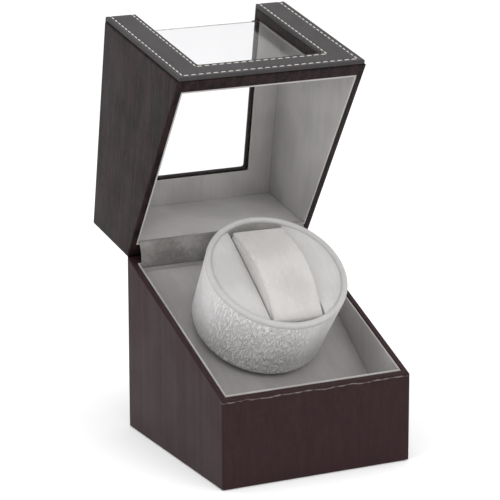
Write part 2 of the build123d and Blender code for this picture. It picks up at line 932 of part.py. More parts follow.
flap_half = lining_in - flap_side_gap
flap_mid = glue + flap_t / 2
flap_base = lining_back_y - flap_mid
flap_lid = lining_lid_rear - flap_mid
flap_rim = opened(flap_lid, rim_z(flap_lid, -parting_gap))
flap_end = opened(flap_lid, rim_z(flap_lid, -parting_gap) + flap_tail)
flap_path = [
    (flap_base, rim_z(flap_base) - flap_tail),
    (flap_base, rim_z(flap_base)),
    ((flap_base + flap_rim[0]) / 2 - flap_slack, (rim_z(flap_base) + flap_rim[1]) / 2),
    flap_rim,
    flap_end,
]


def ribbon(path, thickness):
    """The closed outline of a band of one thickness about a path of points."""
    left, right = [], []
    for index, (y, z) in enumerate(path):
        before = path[max(index - 1, 0)]
        after = path[min(index + 1, len(path) - 1)]
        run = math.hypot(after[0] - before[0], after[1] - before[1])
        across_y = -(after[1] - before[1]) / run * thickness / 2
        across_z = (after[0] - before[0]) / run * thickness / 2
        left.append((y + across_y, z + across_z))
        right.append((y - across_y, z - across_z))
    return left + right[::-1]


with BuildPart() as hinge_flap:
    plate(across(flap_half), ribbon(flap_path, flap_t), 2 * flap_half)
hinge_flap.part.label = "hinge_flap"
export_step(hinge_flap.part, "parts/hinge_flap.step")

strip_half = half_width - strip_side_gap
strip_mid = back_y + glue + strip_t / 2
strip_path = [
    (strip_mid, back_height - strip_tail),
    (strip_mid, back_height - strip_bend),
    (back_y + strip_bend / 2, back_height - strip_bend / 2),
    opened(strip_mid, back_height + strip_bend),
    opened(strip_mid, back_height + strip_tail),
]
with BuildPart() as hinge_strip:
    plate(across(strip_half), ribbon(strip_path, strip_t), 2 * strip_half)
hinge_strip.part.label = "hinge_strip"
export_step(hinge_strip.part, "parts/hinge_strip.step")

# ------------------------------------------------------------------ drum
drum_low = drum_gap
drum_high = drum_gap + drum_depth
rim_low = drum_high - drum_rim_t


def drum_r(level, inset):
    """Radius of the tapered drum at a level above the deck, less an inset."""
    share = (level - drum_low) / drum_depth
    return drum_base_r + (drum_rim_r - drum_base_r) * share - inset


wrap_in = drum_wrap_t + glue
shell_in = wrap_in + drum_shell_t
lining_out = shell_in + glue
cup_in = lining_out + drum_lining_t
floor_high = drum_low + drum_wrap_t + drum_floor_t
floor_lining_high = floor_high + drum_lining_t

with BuildPart() as drum_wrap:
    spin(
        [
            (hub_r + glue, drum_low),
            (drum_r(drum_low, 0), drum_low),
            (drum_r(rim_low, 0), rim_low),
            (0, rim_low),
            (0, drum_low + drum_wrap_t),
            (hub_r + glue, drum_low + drum_wrap_t),
        ]
    )
    rings = drum_wrap.edges().filter_by(GeomType.CIRCLE)
    fillet(rings.group_by(drum_axis)[0].sort_by(SortBy.RADIUS)[-1], drum_foot_r)
    spin(
        [
            (0, drum_low + drum_wrap_t),
            (drum_r(drum_low, wrap_in + drum_foot_r), drum_low + drum_wrap_t),
            (drum_r(drum_low + drum_foot_r, wrap_in - glue), drum_low + drum_foot_r),
            (drum_r(rim_low, wrap_in - glue), rim_low),
            (0, rim_low),
        ],
        mode=Mode.SUBTRACT,
    )
drum_wrap.part.label = "drum_wrap"
export_step(drum_wrap.part, "parts/drum_wrap.step")

with BuildPart() as drum_shell:
    spin(
        [
            (0, drum_low + drum_wrap_t),
            (drum_r(drum_low, wrap_in + drum_foot_r), drum_low + drum_wrap_t),
            (drum_r(drum_low + drum_foot_r, wrap_in), drum_low + drum_foot_r),
            (drum_r(rim_low, wrap_in), rim_low),
            (drum_r(rim_low, shell_in), rim_low),
            (drum_r(floor_high, shell_in), floor_high),
            (0, floor_high),
        ]
    )
    rod(deck_plane.offset(case_top + hub_clear), hub_r, floor_high - case_top - hub_clear)
    rod(
        deck_plane.offset(case_top + hub_clear),
        shaft_r + seat,
        drum_low + drum_wrap_t - case_top - hub_clear,
        mode=Mode.SUBTRACT,
    )
    rod(deck_plane, hub_bolt_r + seat, floor_high, mode=Mode.SUBTRACT)
drum_shell.part.label = "drum_shell"
export_step(drum_shell.part, "parts/drum_shell.step")

with BuildPart() as drum_rim:
    spin(
        [
            (drum_r(rim_low, cup_in), rim_low),
            (drum_r(rim_low, 0), rim_low),
            (drum_r(drum_high, 0), drum_high),
            (drum_r(drum_high, cup_in), drum_high),
        ]
    )
    fillet(drum_rim.edges().filter_by(GeomType.CIRCLE).group_by(drum_axis)[-1], drum_lining_t + glue)
drum_rim.part.label = "drum_rim"
export_step(drum_rim.part, "parts/drum_rim.step")

with BuildPart() as drum_lining:
    spin(
        [
            (0, floor_high),
            (drum_r(floor_high, lining_out), floor_high),
            (drum_r(rim_low, lining_out), rim_low),
            (drum_r(rim_low, cup_in), rim_low),
            (drum_r(floor_lining_high, cup_in), floor_lining_high),
            (0, floor_lining_high),
        ]
    )
    rod(deck_plane, hub_bolt_head_r + running, drum_high, mode=Mode.SUBTRACT)
drum_lining.part.label = "drum_lining"
export_step(drum_lining.part, "parts/drum_lining.step")

cheek_top = drum_high - cheek_drop
with BuildPart() as drum_cheeks:
    spin(
        [
            (0, floor_lining_high),
            (drum_r(floor_lining_high, cup_in + glue), floor_lining_high),
            (drum_r(cheek_top, cup_in + glue), cheek_top),
            (0, cheek_top),
        ]
    )
    block(deck_plane, 2 * slot_half, far, far, mode=Mode.SUBTRACT)
    walls = drum_cheeks.faces().filter_by(Plane.YZ)
    fillet([wall.edges().sort_by(drum_axis)[-1] for wall in walls], cheek_r)
drum_cheeks.part.label = "drum_cheeks"
export_step(drum_cheeks.part, "parts/drum_cheeks.step")

# ------------------------------------------------------------------ cushion
cushion_low = floor_lining_high + cushion_floor_gap
cushion_half = slot_half - cushion_side_gap
cushion_front = cushion_front_gap - drum_rim_r
cushion_back = drum_rim_r - cushion_back_gap
cushion_mid = (cushion_front + cushion_back) / 2


def cushion_body(inset, half):
    """The pillow: an arched block across the slot, its ends kept inside the drum's wall."""
    front = cushion_front + inset
    back = cushion_back - inset
    ends = drum_high + cushion_ends - inset
    crown = drum_high + cushion_rise - inset
    belly = cushion_low + inset
    shoulder = belly + cushion_belly
    with BuildSketch(slope_plane.offset(-half)) as face:
        with BuildLine():
            ThreePointArc((front, ends), (cushion_mid, crown), (back, ends))
            Line((back, ends), (back, shoulder))
            ThreePointArc((back, shoulder), (cushion_mid, belly), (front, shoulder))
            Line((front, shoulder), (front, ends))
        make_face()
    extrude(face.sketch, amount=2 * half)
    room = cup_in + cushion_wall_gap + inset
    top = drum_high + cushion_rise
    spin(
        [(0, drum_low), (drum_r(drum_low, room), drum_low), (drum_r(top, room), top), (0, top)],
        mode=Mode.INTERSECT,
    )


with BuildPart() as cushion_core:
    cushion_body(cushion_skin, cushion_half - cushion_side_t)
cushion_core.part.label = "cushion_core"
export_step(cushion_core.part, "parts/cushion_core.step")

with BuildPart() as cushion_cover:
    cushion_body(0, cushion_half)
    add(cushion_core.part, mode=Mode.SUBTRACT)
    for side in (-1, 1):
        split(bisect_by=Plane.YZ.offset(side * (cushion_half - cushion_side_t)), keep=Keep.BOTH)
cushion_cover.part.label = "cushion_cover"
export_step(cushion_cover.part, "parts/cushion_cover.step")

# ------------------------------------------------------------------ gearbox
case_bottom = case_top - case_wall - case_room
cover_bottom = case_bottom - case_wall
case_square = [(case_mid, case_mid)]
boss_spot = case_size / 2 - case_wall - boss_r + case_margin / 2
boss_spots = [(case_mid + x, case_mid + y) for x, y in corners(boss_spot, boss_spot)]
output_spot = (0, 0)
second_spot = (-centre_distance, 0)
first_spot = (-centre_distance, -centre_distance)
motor_spot = (0, -centre_distance)
inner_top = case_top - case_wall
output_level = inner_top - top_wheel_drop - gear_t
second_level = output_level - wheel_step
first_level = second_level - wheel_step

with BuildPart() as gearbox_case:
    flange = case_size + 2 * flange_reach
    block(deck_plane.offset(inner_top), flange, flange, case_wall, spots=case_square)
    block(deck_plane.offset(case_bottom), case_size, case_size, case_room, spots=case_square)
    room = case_size - 2 * case_wall
    block(deck_plane.offset(case_bottom), room, room, case_room, mode=Mode.SUBTRACT, spots=case_square)
    rod(deck_plane.offset(case_bottom), boss_r, case_room, spots=boss_spots)
    rod(
        deck_plane.offset(case_bottom),
        case_bolt_r + seat,
        case_bolt_length,
        mode=Mode.SUBTRACT,
        spots=boss_spots,
    )
    rod(
        deck_plane.offset(inner_top),
        axle_r + seat,
        axle_pocket,
        mode=Mode.SUBTRACT,
        spots=(second_spot, first_spot),
    )
    rod(deck_plane.offset(inner_top), bush_r + seat, case_wall, mode=Mode.SUBTRACT)
    rod(
        deck_plane.offset(inner_top), mount_bolt_r + seat, case_wall, mode=Mode.SUBTRACT, spots=mount_spots
    )
gearbox_case.part.label = "gearbox_case"
export_step(gearbox_case.part, "parts/gearbox_case.step")

motor_spots = [
    (motor_spot[0], motor_spot[1] + end * motor_bolt_spacing / 2) for end in (-1, 1)
]
motor_bolt_drop = case_wall + motor_wall

with BuildPart() as gearbox_cover:
    block(deck_plane.offset(cover_bottom), case_size, case_size, case_wall, spots=case_square)
    rod(
        deck_plane.offset(cover_bottom),
        case_bolt_r + seat,
        case_wall,
        mode=Mode.SUBTRACT,
        spots=[*boss_spots, *motor_spots],
    )
    rod(
        deck_plane.offset(case_bottom - axle_pocket),
        axle_r + seat,
        axle_pocket,
        mode=Mode.SUBTRACT,
        spots=(second_spot, first_spot),
    )
    rod(deck_plane.offset(case_bottom - axle_pocket), stub_r + running, axle_pocket, mode=Mode.SUBTRACT)
    rod(
        deck_plane.offset(cover_bottom),
        motor_collar_r + seat,
        case_wall,
        mode=Mode.SUBTRACT,
        spots=(motor_spot,),
    )
gearbox_cover.part.label = "gearbox_cover"
export_step(gearbox_cover.part, "parts/gearbox_cover.step")

# Screw planes looking down the axis, so that heads stand below and shanks go up
down_plane = Plane(origin=foot, x_dir=(1, 0, 0), z_dir=tuple(-value for value in up_axis))


def turned_spots(spots):
    """Spots on the deck plane as the plane that looks down the axis sees them."""
    return [(x, -y) for x, y in spots]


with BuildPart() as case_screws:
    bolts(
        down_plane.offset(-cover_bottom),
        turned_spots(boss_spots),
        case_bolt_head_r,
        case_bolt_head_h,
        case_bolt_r,
        case_bolt_length,
    )
    bolts(plate_face, plate_spots, case_bolt_head_r, case_bolt_head_h, case_bolt_r, case_bolt_length)
case_screws.part.label = "case_screws"
export_step(case_screws.part, "parts/case_screws.step")

with BuildPart() as mount_screws:
    bolts(
        down_plane.offset(-inner_top),
        turned_spots(mount_spots),
        mount_bolt_head_r,
        mount_bolt_head_h,
        mount_bolt_r,
        mount_bolt_length,
    )
mount_screws.part.label = "mount_screws"
export_step(mount_screws.part, "parts/mount_screws.step")

with BuildPart() as motor_screws:
    bolts(
        deck_plane.offset(case_bottom),
        motor_spots,
        case_bolt_head_r,
        case_bolt_head_h,
        case_bolt_r,
        motor_bolt_drop,
    )
motor_screws.part.label = "motor_screws"
export_step(motor_screws.part, "parts/motor_screws.step")

with BuildPart() as output_bush:
    rod(deck_plane.offset(case_top), bush_flange_r, bush_flange_t)
    rod(deck_plane.offset(inner_top), bush_r, case_wall)
    rod(
        deck_plane.offset(inner_top),
        shaft_r + running,
        case_wall + bush_flange_t,
        mode=Mode.SUBTRACT,
    )
output_bush.part.label = "output_bush"
export_step(output_bush.part, "parts/output_bush.step")

with BuildPart() as gear_axles:
    rod(
        deck_plane.offset(case_bottom - axle_pocket),
        axle_r,
        case_room + 2 * axle_pocket,
        spots=(second_spot, first_spot),
    )
gear_axles.part.label = "gear_axles"
export_step(gear_axles.part, "parts/gear_axles.step")


def gear(level, spot, teeth, phase, thickness):
    """A straight-flanked gear standing on a level, phase in degrees."""
    pitch = 360 / teeth
    pitch_r = module * teeth / 2
    half_at_pitch = tooth_share * math.pi * module / 2
    outline = []
    for index in range(teeth):
        centre = phase + pitch * index
        for side, heights in ((-1, (-dedendum, addendum)), (1, (addendum, -dedendum))):
            for height in heights:
                radius = pitch_r + height * module
                half = half_at_pitch - height * module * math.tan(math.radians(flank))
                angle = math.radians(centre) + side * half / radius
                outline.append((spot[0] + radius * math.cos(angle), spot[1] + radius * math.sin(angle)))
    plate(deck_plane.offset(level), outline, thickness)


pinion_phase = 180 / pinion_teeth
shaft_top = drum_low + drum_wrap_t

with BuildPart() as output_shaft:
    rod(deck_plane.offset(output_level), shaft_r, shaft_top - output_level)
    rod(deck_plane.offset(case_bottom - axle_pocket), stub_r, output_level - case_bottom + axle_pocket)
    rod(
        deck_plane.offset(floor_high - hub_bolt_length),
        hub_bolt_r + seat,
        hub_bolt_length,
        mode=Mode.SUBTRACT,
    )
output_shaft.part.label = "output_shaft"
export_step(output_shaft.part, "parts/output_shaft.step")

with BuildPart() as output_gear:
    gear(output_level, output_spot, wheel_teeth, 0, gear_t)
    rod(deck_plane.offset(output_level), shaft_r + seat, gear_t, mode=Mode.SUBTRACT)
output_gear.part.label = "output_gear"
export_step(output_gear.part, "parts/output_gear.step")

with BuildPart() as hub_screw:
    bolts(
        deck_plane.offset(floor_high), [(0, 0)], hub_bolt_head_r, hub_bolt_head_h, hub_bolt_r, hub_bolt_length
    )
hub_screw.part.label = "hub_screw"
export_step(hub_screw.part, "parts/hub_screw.step")

for level, spot, name in (
    (second_level, second_spot, "second_gear"),
    (first_level, first_spot, "first_gear"),
):
    with BuildPart() as compound_gear:
        gear(level, spot, wheel_teeth, 0, gear_t)
        gear(level + gear_t, spot, pinion_teeth, pinion_phase, pinion_t)
        rod(
            deck_plane.offset(level),
            axle_r + running,
            gear_t + pinion_t,
            mode=Mode.SUBTRACT,
            spots=(spot,),
        )
    compound_gear.part.label = name
    export_step(compound_gear.part, f"parts/{name}.step")

# ------------------------------------------------------------------ motor
motor_front = cover_bottom
motor_back = motor_front - motor_length
shaft_low = motor_back + motor_wall

with BuildPart() as motor_can:
    rod(deck_plane.offset(motor_back), motor_r, motor_length, spots=(motor_spot,))
    rod(deck_plane.offset(motor_front), motor_collar_r, motor_collar_h, spots=(motor_spot,))
    rod(
        deck_plane.offset(shaft_low),
        motor_shaft_r + running,
        motor_front + motor_collar_h - shaft_low,
        mode=Mode.SUBTRACT,
        spots=(motor_spot,),
    )
    rod(
        deck_plane.offset(motor_front - motor_wall),
        case_bolt_r + seat,
        motor_wall,
        mode=Mode.SUBTRACT,
        spots=motor_spots,
    )
motor_can.part.label = "motor_can"
export_step(motor_can.part, "parts/motor_can.step")

with BuildPart() as motor_shaft:
    rod(deck_plane.offset(shaft_low), motor_shaft_r, first_level + gear_t - shaft_low, spots=(motor_spot,))
motor_shaft.part.label = "motor_shaft"
export_step(motor_shaft.part, "parts/motor_shaft.step")

with BuildPart() as motor_pinion:
    gear(first_level, motor_spot, pinion_teeth, pinion_phase, gear_t)
    rod(
        deck_plane.offset(first_level), motor_shaft_r + seat, gear_t, mode=Mode.SUBTRACT, spots=(motor_spot,)
    )
motor_pinion.part.label = "motor_pinion"
export_step(motor_pinion.part, "parts/motor_pinion.step")

# ------------------------------------------------------------------ rear plate and its controls
# On the rear plate's outer face x runs to the left seen from the front
rocker_spot = (-control_spacing, 0)
jack_spot = (control_spacing, 0)

with BuildPart() as rear_plate:
    block(plate_face.offset(-plate_t), plate_width, plate_height, plate_t)
    fillet(rear_plate.edges().filter_by(Axis.Y), plate_bolt_inset)
    rod(plate_face.offset(-plate_t), case_bolt_r + seat, plate_t, mode=Mode.SUBTRACT, spots=plate_spots)
    rod(plate_face.offset(-plate_t), jack_r + seat, plate_t, mode=Mode.SUBTRACT, spots=(jack_spot,))
    block(
        plate_face.offset(-plate_t),
        rocker_width,
        rocker_height,
        plate_t,
        mode=Mode.SUBTRACT,
        spots=(rocker_spot,),
    )
rear_plate.part.label = "rear_plate"
export_step(rear_plate.part, "parts/rear_plate.step")

with BuildPart() as dc_jack:
    rod(plate_face.offset(-jack_depth), jack_r, jack_depth + jack_proud, spots=(jack_spot,))
    rod(plate_face.offset(-plate_t - jack_lip_t), jack_lip_r, jack_lip_t, spots=(jack_spot,))
    rod(
        plate_face.offset(jack_proud - jack_bore_depth),
        jack_bore_r,
        jack_bore_depth,
        mode=Mode.SUBTRACT,
        spots=(jack_spot,),
    )
dc_jack.part.label = "dc_jack"
export_step(dc_jack.part, "parts/dc_jack.step")

with BuildPart() as dc_pin:
    rod(
        plate_face.offset(jack_proud - jack_bore_depth),
        jack_pin_r,
        jack_bore_depth - jack_proud / 2,
        spots=(jack_spot,),
    )
dc_pin.part.label = "dc_pin"
export_step(dc_pin.part, "parts/dc_pin.step")

pocket_width = rocker_width - 2 * rocker_wall
pocket_height = rocker_height - 2 * rocker_wall
rocker_x = control_spacing
pivot_y = back_y + plate_t + rocker_lip - rocker_pivot_depth
pivot_plane = Plane(origin=(rocker_x - rocker_width / 2, pivot_y, plate_z), z_dir=(1, 0, 0))

with BuildPart() as rocker_frame:
    block(plate_face.offset(-rocker_depth), rocker_width, rocker_height, rocker_depth, spots=(rocker_spot,))
    block(
        plate_face,
        rocker_width + 2 * rocker_lip,
        rocker_height + 2 * rocker_lip,
        rocker_lip,
        spots=(rocker_spot,),
    )
    block(
        plate_face.offset(rocker_floor - rocker_depth),
        pocket_width,
        pocket_height,
        rocker_depth,
        mode=Mode.SUBTRACT,
        spots=(rocker_spot,),
    )
    rod(pivot_plane, rocker_pivot_r + running, rocker_width, mode=Mode.SUBTRACT)
rocker_frame.part.label = "rocker_frame"
export_step(rocker_frame.part, "parts/rocker_frame.step")

button_half = pocket_height / 2 - 2 * rocker_clearance
rest_turn = math.radians(rocker_throw / 2)
button_plane = Plane(
    origin=(rocker_x - pocket_width / 2 + rocker_clearance, pivot_y, plate_z),
    x_dir=(0, math.cos(rest_turn), -math.sin(rest_turn)),
    z_dir=(1, 0, 0),
)

with BuildPart() as rocker_button:
    plate(
        button_plane,
        [
            (rocker_nose - rocker_end_rise, 0),
            (rocker_nose, button_half),
            (-rocker_pivot_r, button_half),
            (-rocker_keel, rocker_pivot_r),
            (-rocker_keel, -rocker_pivot_r),
            (-rocker_pivot_r, -button_half),
            (rocker_nose, -button_half),
        ],
        pocket_width - 2 * rocker_clearance,
    )
    rod(pivot_plane.offset(rocker_wall / 2), rocker_pivot_r, rocker_width - rocker_wall)
rocker_button.part.label = "rocker_button"
export_step(rocker_button.part, "parts/rocker_button.step")

# ------------------------------------------------------------------ control board
floor_plane = Plane(origin=(0, board_y, bottom_top), x_dir=(1, 0, 0), z_dir=(0, 0, 1))

with BuildPart() as control_board:
    block(floor_plane, board_width, board_depth, board_t)
control_board.part.label = "control_board"
export_step(control_board.part, "parts/control_board.step")

with BuildPart() as board_parts:
    top = floor_plane.offset(board_t)
    block(top, chip_size[0], chip_size[1], chip_size[2])
    rod(top, capacitor_r, capacitor_height, spots=((-board_part_spacing, 0),))
    block(top, socket_size[0], socket_size[1], socket_size[2], spots=((board_part_spacing, 0),))
board_parts.part.label = "board_parts"
export_step(board_parts.part, "parts/board_parts.step")
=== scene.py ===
# %% [markdown]
# # A watch winder box
# A small hinged box, wrapped in dark leatherette and lined with grey suede. Its lid stands open, and a
# tilted drum inside turns a watch on a cushion. The engineering model already gives every board, gear and
# screw its place. This lesson gives each visible piece its soft edges, stitches, folds and finishes.

# %% Load the frame
import json
import math

import bmesh
import bpy
from mathutils import Matrix, Vector, noise


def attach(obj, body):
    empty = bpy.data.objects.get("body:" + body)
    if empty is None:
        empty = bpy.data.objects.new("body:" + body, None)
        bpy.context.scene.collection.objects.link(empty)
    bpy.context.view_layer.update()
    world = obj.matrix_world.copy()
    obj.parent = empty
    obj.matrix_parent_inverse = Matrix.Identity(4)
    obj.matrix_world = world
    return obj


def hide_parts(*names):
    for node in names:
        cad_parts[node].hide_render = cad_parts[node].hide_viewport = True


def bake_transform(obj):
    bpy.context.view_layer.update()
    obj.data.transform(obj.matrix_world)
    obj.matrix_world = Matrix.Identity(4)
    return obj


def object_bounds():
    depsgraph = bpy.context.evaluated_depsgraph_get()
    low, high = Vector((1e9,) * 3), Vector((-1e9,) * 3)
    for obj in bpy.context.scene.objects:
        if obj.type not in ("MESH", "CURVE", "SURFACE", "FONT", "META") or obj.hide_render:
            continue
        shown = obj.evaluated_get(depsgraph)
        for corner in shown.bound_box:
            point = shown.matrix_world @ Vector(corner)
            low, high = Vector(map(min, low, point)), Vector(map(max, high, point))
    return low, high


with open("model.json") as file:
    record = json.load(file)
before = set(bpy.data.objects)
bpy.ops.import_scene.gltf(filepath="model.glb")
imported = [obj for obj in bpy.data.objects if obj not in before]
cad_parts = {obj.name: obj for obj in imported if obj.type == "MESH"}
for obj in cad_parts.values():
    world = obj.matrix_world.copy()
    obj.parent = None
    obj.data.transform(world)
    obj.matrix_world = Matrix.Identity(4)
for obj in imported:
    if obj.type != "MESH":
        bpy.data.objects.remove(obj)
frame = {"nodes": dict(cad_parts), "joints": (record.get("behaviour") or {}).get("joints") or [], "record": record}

cad_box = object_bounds()
scene = bpy.context.scene
mm = 0.001
print("engineering model, mm:", [round(edge / mm, 1) for edge in cad_box[1] - cad_box[0]])

# %% [markdown]
# ## Three ways of looking at the box
# The base stands square to the world. The lid is easiest to build shut, and is then swung open about its
# hinge. The drum is easiest to build upright, and is then tilted. Two matrices, read from the joints, do
# the swinging and the tilting, so nothing here needs a measured angle.

# %% Places of the lid and of the drum
hinge = next(joint for joint in frame["joints"] if joint["name"] == "lid_hinge")
spindle = next(joint for joint in frame["joints"] if joint["name"] == "drum_spin")
hinge_at = Vector(hinge["pos_m"])
swing = Matrix.Rotation(math.radians(hinge["range_deg"][1]), 4, "X")
shut = Matrix.Translation(hinge_at) @ swing @ Matrix.Translation(-hinge_at)
ajar = shut.inverted()

axis = Vector(spindle["axis"]).normalized()
right = Vector((1, 0, 0))
up_slope = axis.cross(right)
tilted = Matrix.Translation(Vector(spindle["pos_m"])) @ Matrix((right, up_slope, axis)).transposed().to_4x4()
upright = tilted.inverted()
level = Matrix.Identity(4)
print("lid stands open by", hinge["range_deg"][1], "degrees")


# %% Measuring the engineering model
def corners_of(node, turn=level):
    """Every corner of a node of the engineering model, after a turn."""
    return [turn @ vertex.co for vertex in frame["nodes"][node].data.vertices]


def span(node, turn=level):
    """Lowest and highest corner of a node, after a turn."""
    found = corners_of(node, turn)
    return (Vector([min(c[i] for c in found) for i in range(3)]),
            Vector([max(c[i] for c in found) for i in range(3)]))


def edge_height(node, turn, y, pick):
    """Highest or lowest corner of a node along the edge at one y."""
    return pick(c.z for c in corners_of(node, turn) if abs(c.y - y) < 0.2 * mm)


base_low, base_high = span("base_leather")
lid_low, lid_high = span("lid_leather", shut)
deck_low, deck_high = span("deck_suede")
rim_front = edge_height("base_leather", level, base_low.y, max)
rim_back = edge_height("base_leather", level, base_high.y, max)
rim_slope = (rim_back - rim_front) / (base_high.y - base_low.y)
lid_front = edge_height("lid_leather", shut, lid_low.y, min)
print("rim, mm:", round(rim_front / mm, 1), "at the front,", round(rim_back / mm, 1), "at the back")


# %% [markdown]
# ## Modelling helpers
# Everything is modelled with bmesh operators: cut with planes, pull faces out, round the edges. A short
# helper for each of these keeps the later cells about the box and not about the tool.

# %% Cutting, rounding and roughening
def cut(mesh, axis_index, *places):
    """Cut a mesh square to one axis at each place, keeping both sides."""
    square = Vector([1 if i == axis_index else 0 for i in range(3)])
    for place in places:
        everything = mesh.verts[:] + mesh.edges[:] + mesh.faces[:]
        bmesh.ops.bisect_plane(mesh, geom=everything, dist=1e-7, plane_co=square * place, plane_no=square)


def rungs(low, high, pitch):
    """Evenly spaced places strictly between two ends, about one pitch apart."""
    steps = max(1, round((high - low) / pitch))
    return [low + (high - low) * i / steps for i in range(1, steps)]


def hard_edges(mesh, least=25):
    """The edges where two faces meet at more than a few degrees."""
    return [e for e in mesh.edges if len(e.link_faces) == 2 and e.calc_face_angle() > math.radians(least)]


def round_off(mesh, edges, width, segments=3):
    """Round edges over."""
    bmesh.ops.bevel(mesh, geom=edges, offset=width, offset_type="OFFSET", segments=segments, profile=0.5,
                    affect="EDGES", material=-1, clamp_overlap=True)


def drop_faces(mesh, unwanted):
    """Delete faces, with the edges and corners that only they use."""
    bmesh.ops.delete(mesh, geom=[face for face in mesh.faces if unwanted(face)], context="FACES")


def corners_in(made):
    """The corners among what an operator made."""
    return [part for part in made if isinstance(part, bmesh.types.BMVert)]


def block(mesh_low, mesh_high):
    """A box between two corners."""
    mesh = bmesh.new()
    bmesh.ops.create_cube(mesh, size=1)
    bmesh.ops.scale(mesh, vec=mesh_high - mesh_low, verts=mesh.verts[:])
    bmesh.ops.translate(mesh, vec=(mesh_low + mesh_high) / 2, verts=mesh.verts[:])
    return mesh


def ripple(point, size, seed=0):
    """Smooth noise between about -1 and 1 with features of one size."""
    return noise.noise(point / size + Vector((seed, 2.7 * seed, -1.3 * seed)))


# %% Turning a bmesh into a piece of the box
def piece(mesh, name, finish, body, stands_for=(), place=level, crease=30):
    """Make an object of a mesh, in its place in the box, with smooth shading between its hard edges."""
    bmesh.ops.transform(mesh, matrix=place, verts=mesh.verts[:])
    data = bpy.data.meshes.new(name)
    for face in mesh.faces:
        face.smooth = True
    mesh.to_mesh(data)
    mesh.free()
    data.set_sharp_from_angle(angle=math.radians(crease))
    made = bpy.data.objects.new(name, data)
    scene.collection.objects.link(made)
    made.data.materials.append(finish)
    if body:
        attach(made, body)
    if stands_for:
        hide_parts(*stands_for)
    print(name, len(data.polygons), "faces")
    return made


def shell(made, thickness):
    """Give a skin its thickness, inwards."""
    wall = made.modifiers.new("thickness", "SOLIDIFY")
    wall.thickness = thickness
    wall.offset = -1


def merged_copy(node):
    """A copy of a node of the engineering model, its loose triangles joined into whole faces."""
    mesh = bmesh.new()
    mesh.from_mesh(frame["nodes"][node].data)
    bmesh.ops.remove_doubles(mesh, verts=mesh.verts[:], dist=1e-6)
    bmesh.ops.dissolve_limit(mesh, angle_limit=math.radians(1), verts=mesh.verts[:], edges=mesh.edges[:])
    bmesh.ops.recalc_face_normals(mesh, faces=mesh.faces[:])
    return mesh


def softened(node, width, segments=2):
    """A merged copy of a node of the engineering model, with its hard edges rounded."""
    mesh = merged_copy(node)
    round_off(mesh, hard_edges(mesh), width, segments)
    return mesh


# %% [markdown]
# ## Finishes
# A finish here is a Principled shader whose colour, roughness and bump come from small patterns. Patterns
# that several finishes share are node groups: a leather grain, and the streaks that the suedes and the
# leathers have in common. Each is built once and gets its own sizes in each material. They could be
# painted images, but a pattern worked out from the object's own coordinates has no seams and stays sharp
# close up.

# %% A short way to write node trees
class Tree:
    """A node tree that is written as calls: each call adds a node and links what it is given."""

    def __init__(self, tree):
        self.tree = tree

    def node(self, kind, inputs=(), **settings):
        """Add a node; an input is linked if it is a socket and set if it is a plain value."""
        made = self.tree.nodes.new(kind)
        for name, value in settings.items():
            setattr(made, name, value)
        for name, value in dict(inputs).items():
            socket = made.inputs[name]
            if isinstance(value, bpy.types.NodeSocket):
                self.tree.links.new(value, socket)
            else:
                socket.default_value = value
        return made

    def noise(self, vector, size, detail=2.0, roughness=0.5, distortion=0.0):
        """Soft noise whose features are about one size, in metres."""
        inputs = {"Vector": vector, "Scale": 1 / size, "Detail": detail, "Roughness": roughness,
                  "Distortion": distortion}
        return self.node("ShaderNodeTexNoise", inputs).outputs["Fac"]

    def ramp(self, value, low, high, to_low=0.0, to_high=1.0):
        """A value mapped smoothly from one range to another."""
        inputs = {"Value": value, "From Min": low, "From Max": high, "To Min": to_low, "To Max": to_high}
        return self.node("ShaderNodeMapRange", inputs, interpolation_type="SMOOTHSTEP").outputs["Result"]

    def stretch(self, vector, by):
        """Coordinates times a factor for each axis; a small factor draws a pattern out along its axis."""
        return self.node("ShaderNodeVectorMath", {0: vector, 1: by}, operation="MULTIPLY").outputs[0]

    def feed(self, value, taker, socket):
        """Link a value to a named socket of another node."""
        self.tree.links.new(value, taker.inputs[socket])

    def op(self, kind, first, second):
        """One step of arithmetic on two values."""
        return self.node("ShaderNodeMath", {0: first, 1: second}, operation=kind).outputs[0]

    def mix(self, share, first, second):
        """A blend of two colours."""
        return self.node("ShaderNodeMix", {0: share, 6: first, 7: second}, data_type="RGBA").outputs[2]


def pattern_group(name, inputs, outputs, build):
    """A node group with named inputs and outputs, filled in by a function."""
    group = bpy.data.node_groups.new(name, "ShaderNodeTree")
    for label, kind in inputs:
        group.interface.new_socket(label, in_out="INPUT", socket_type=kind)
    for label, kind in outputs:
        group.interface.new_socket(label, in_out="OUTPUT", socket_type=kind)
    tree = Tree(group)
    given = tree.node("NodeGroupInput").outputs
    made = tree.node("NodeGroupOutput")
    for label, socket in build(tree, given).items():
        group.links.new(socket, made.inputs[label])
    print(name, "is a group of", len(group.nodes), "nodes")
    return group


# %% [markdown]
# ### Leather grain
# Leatherette is embossed with a small pebble: rounded cells with fine valleys between them. A Voronoi
# pattern's distance to its edges gives just that, and a little noise on its coordinates keeps the cells
# from looking like a honeycomb.

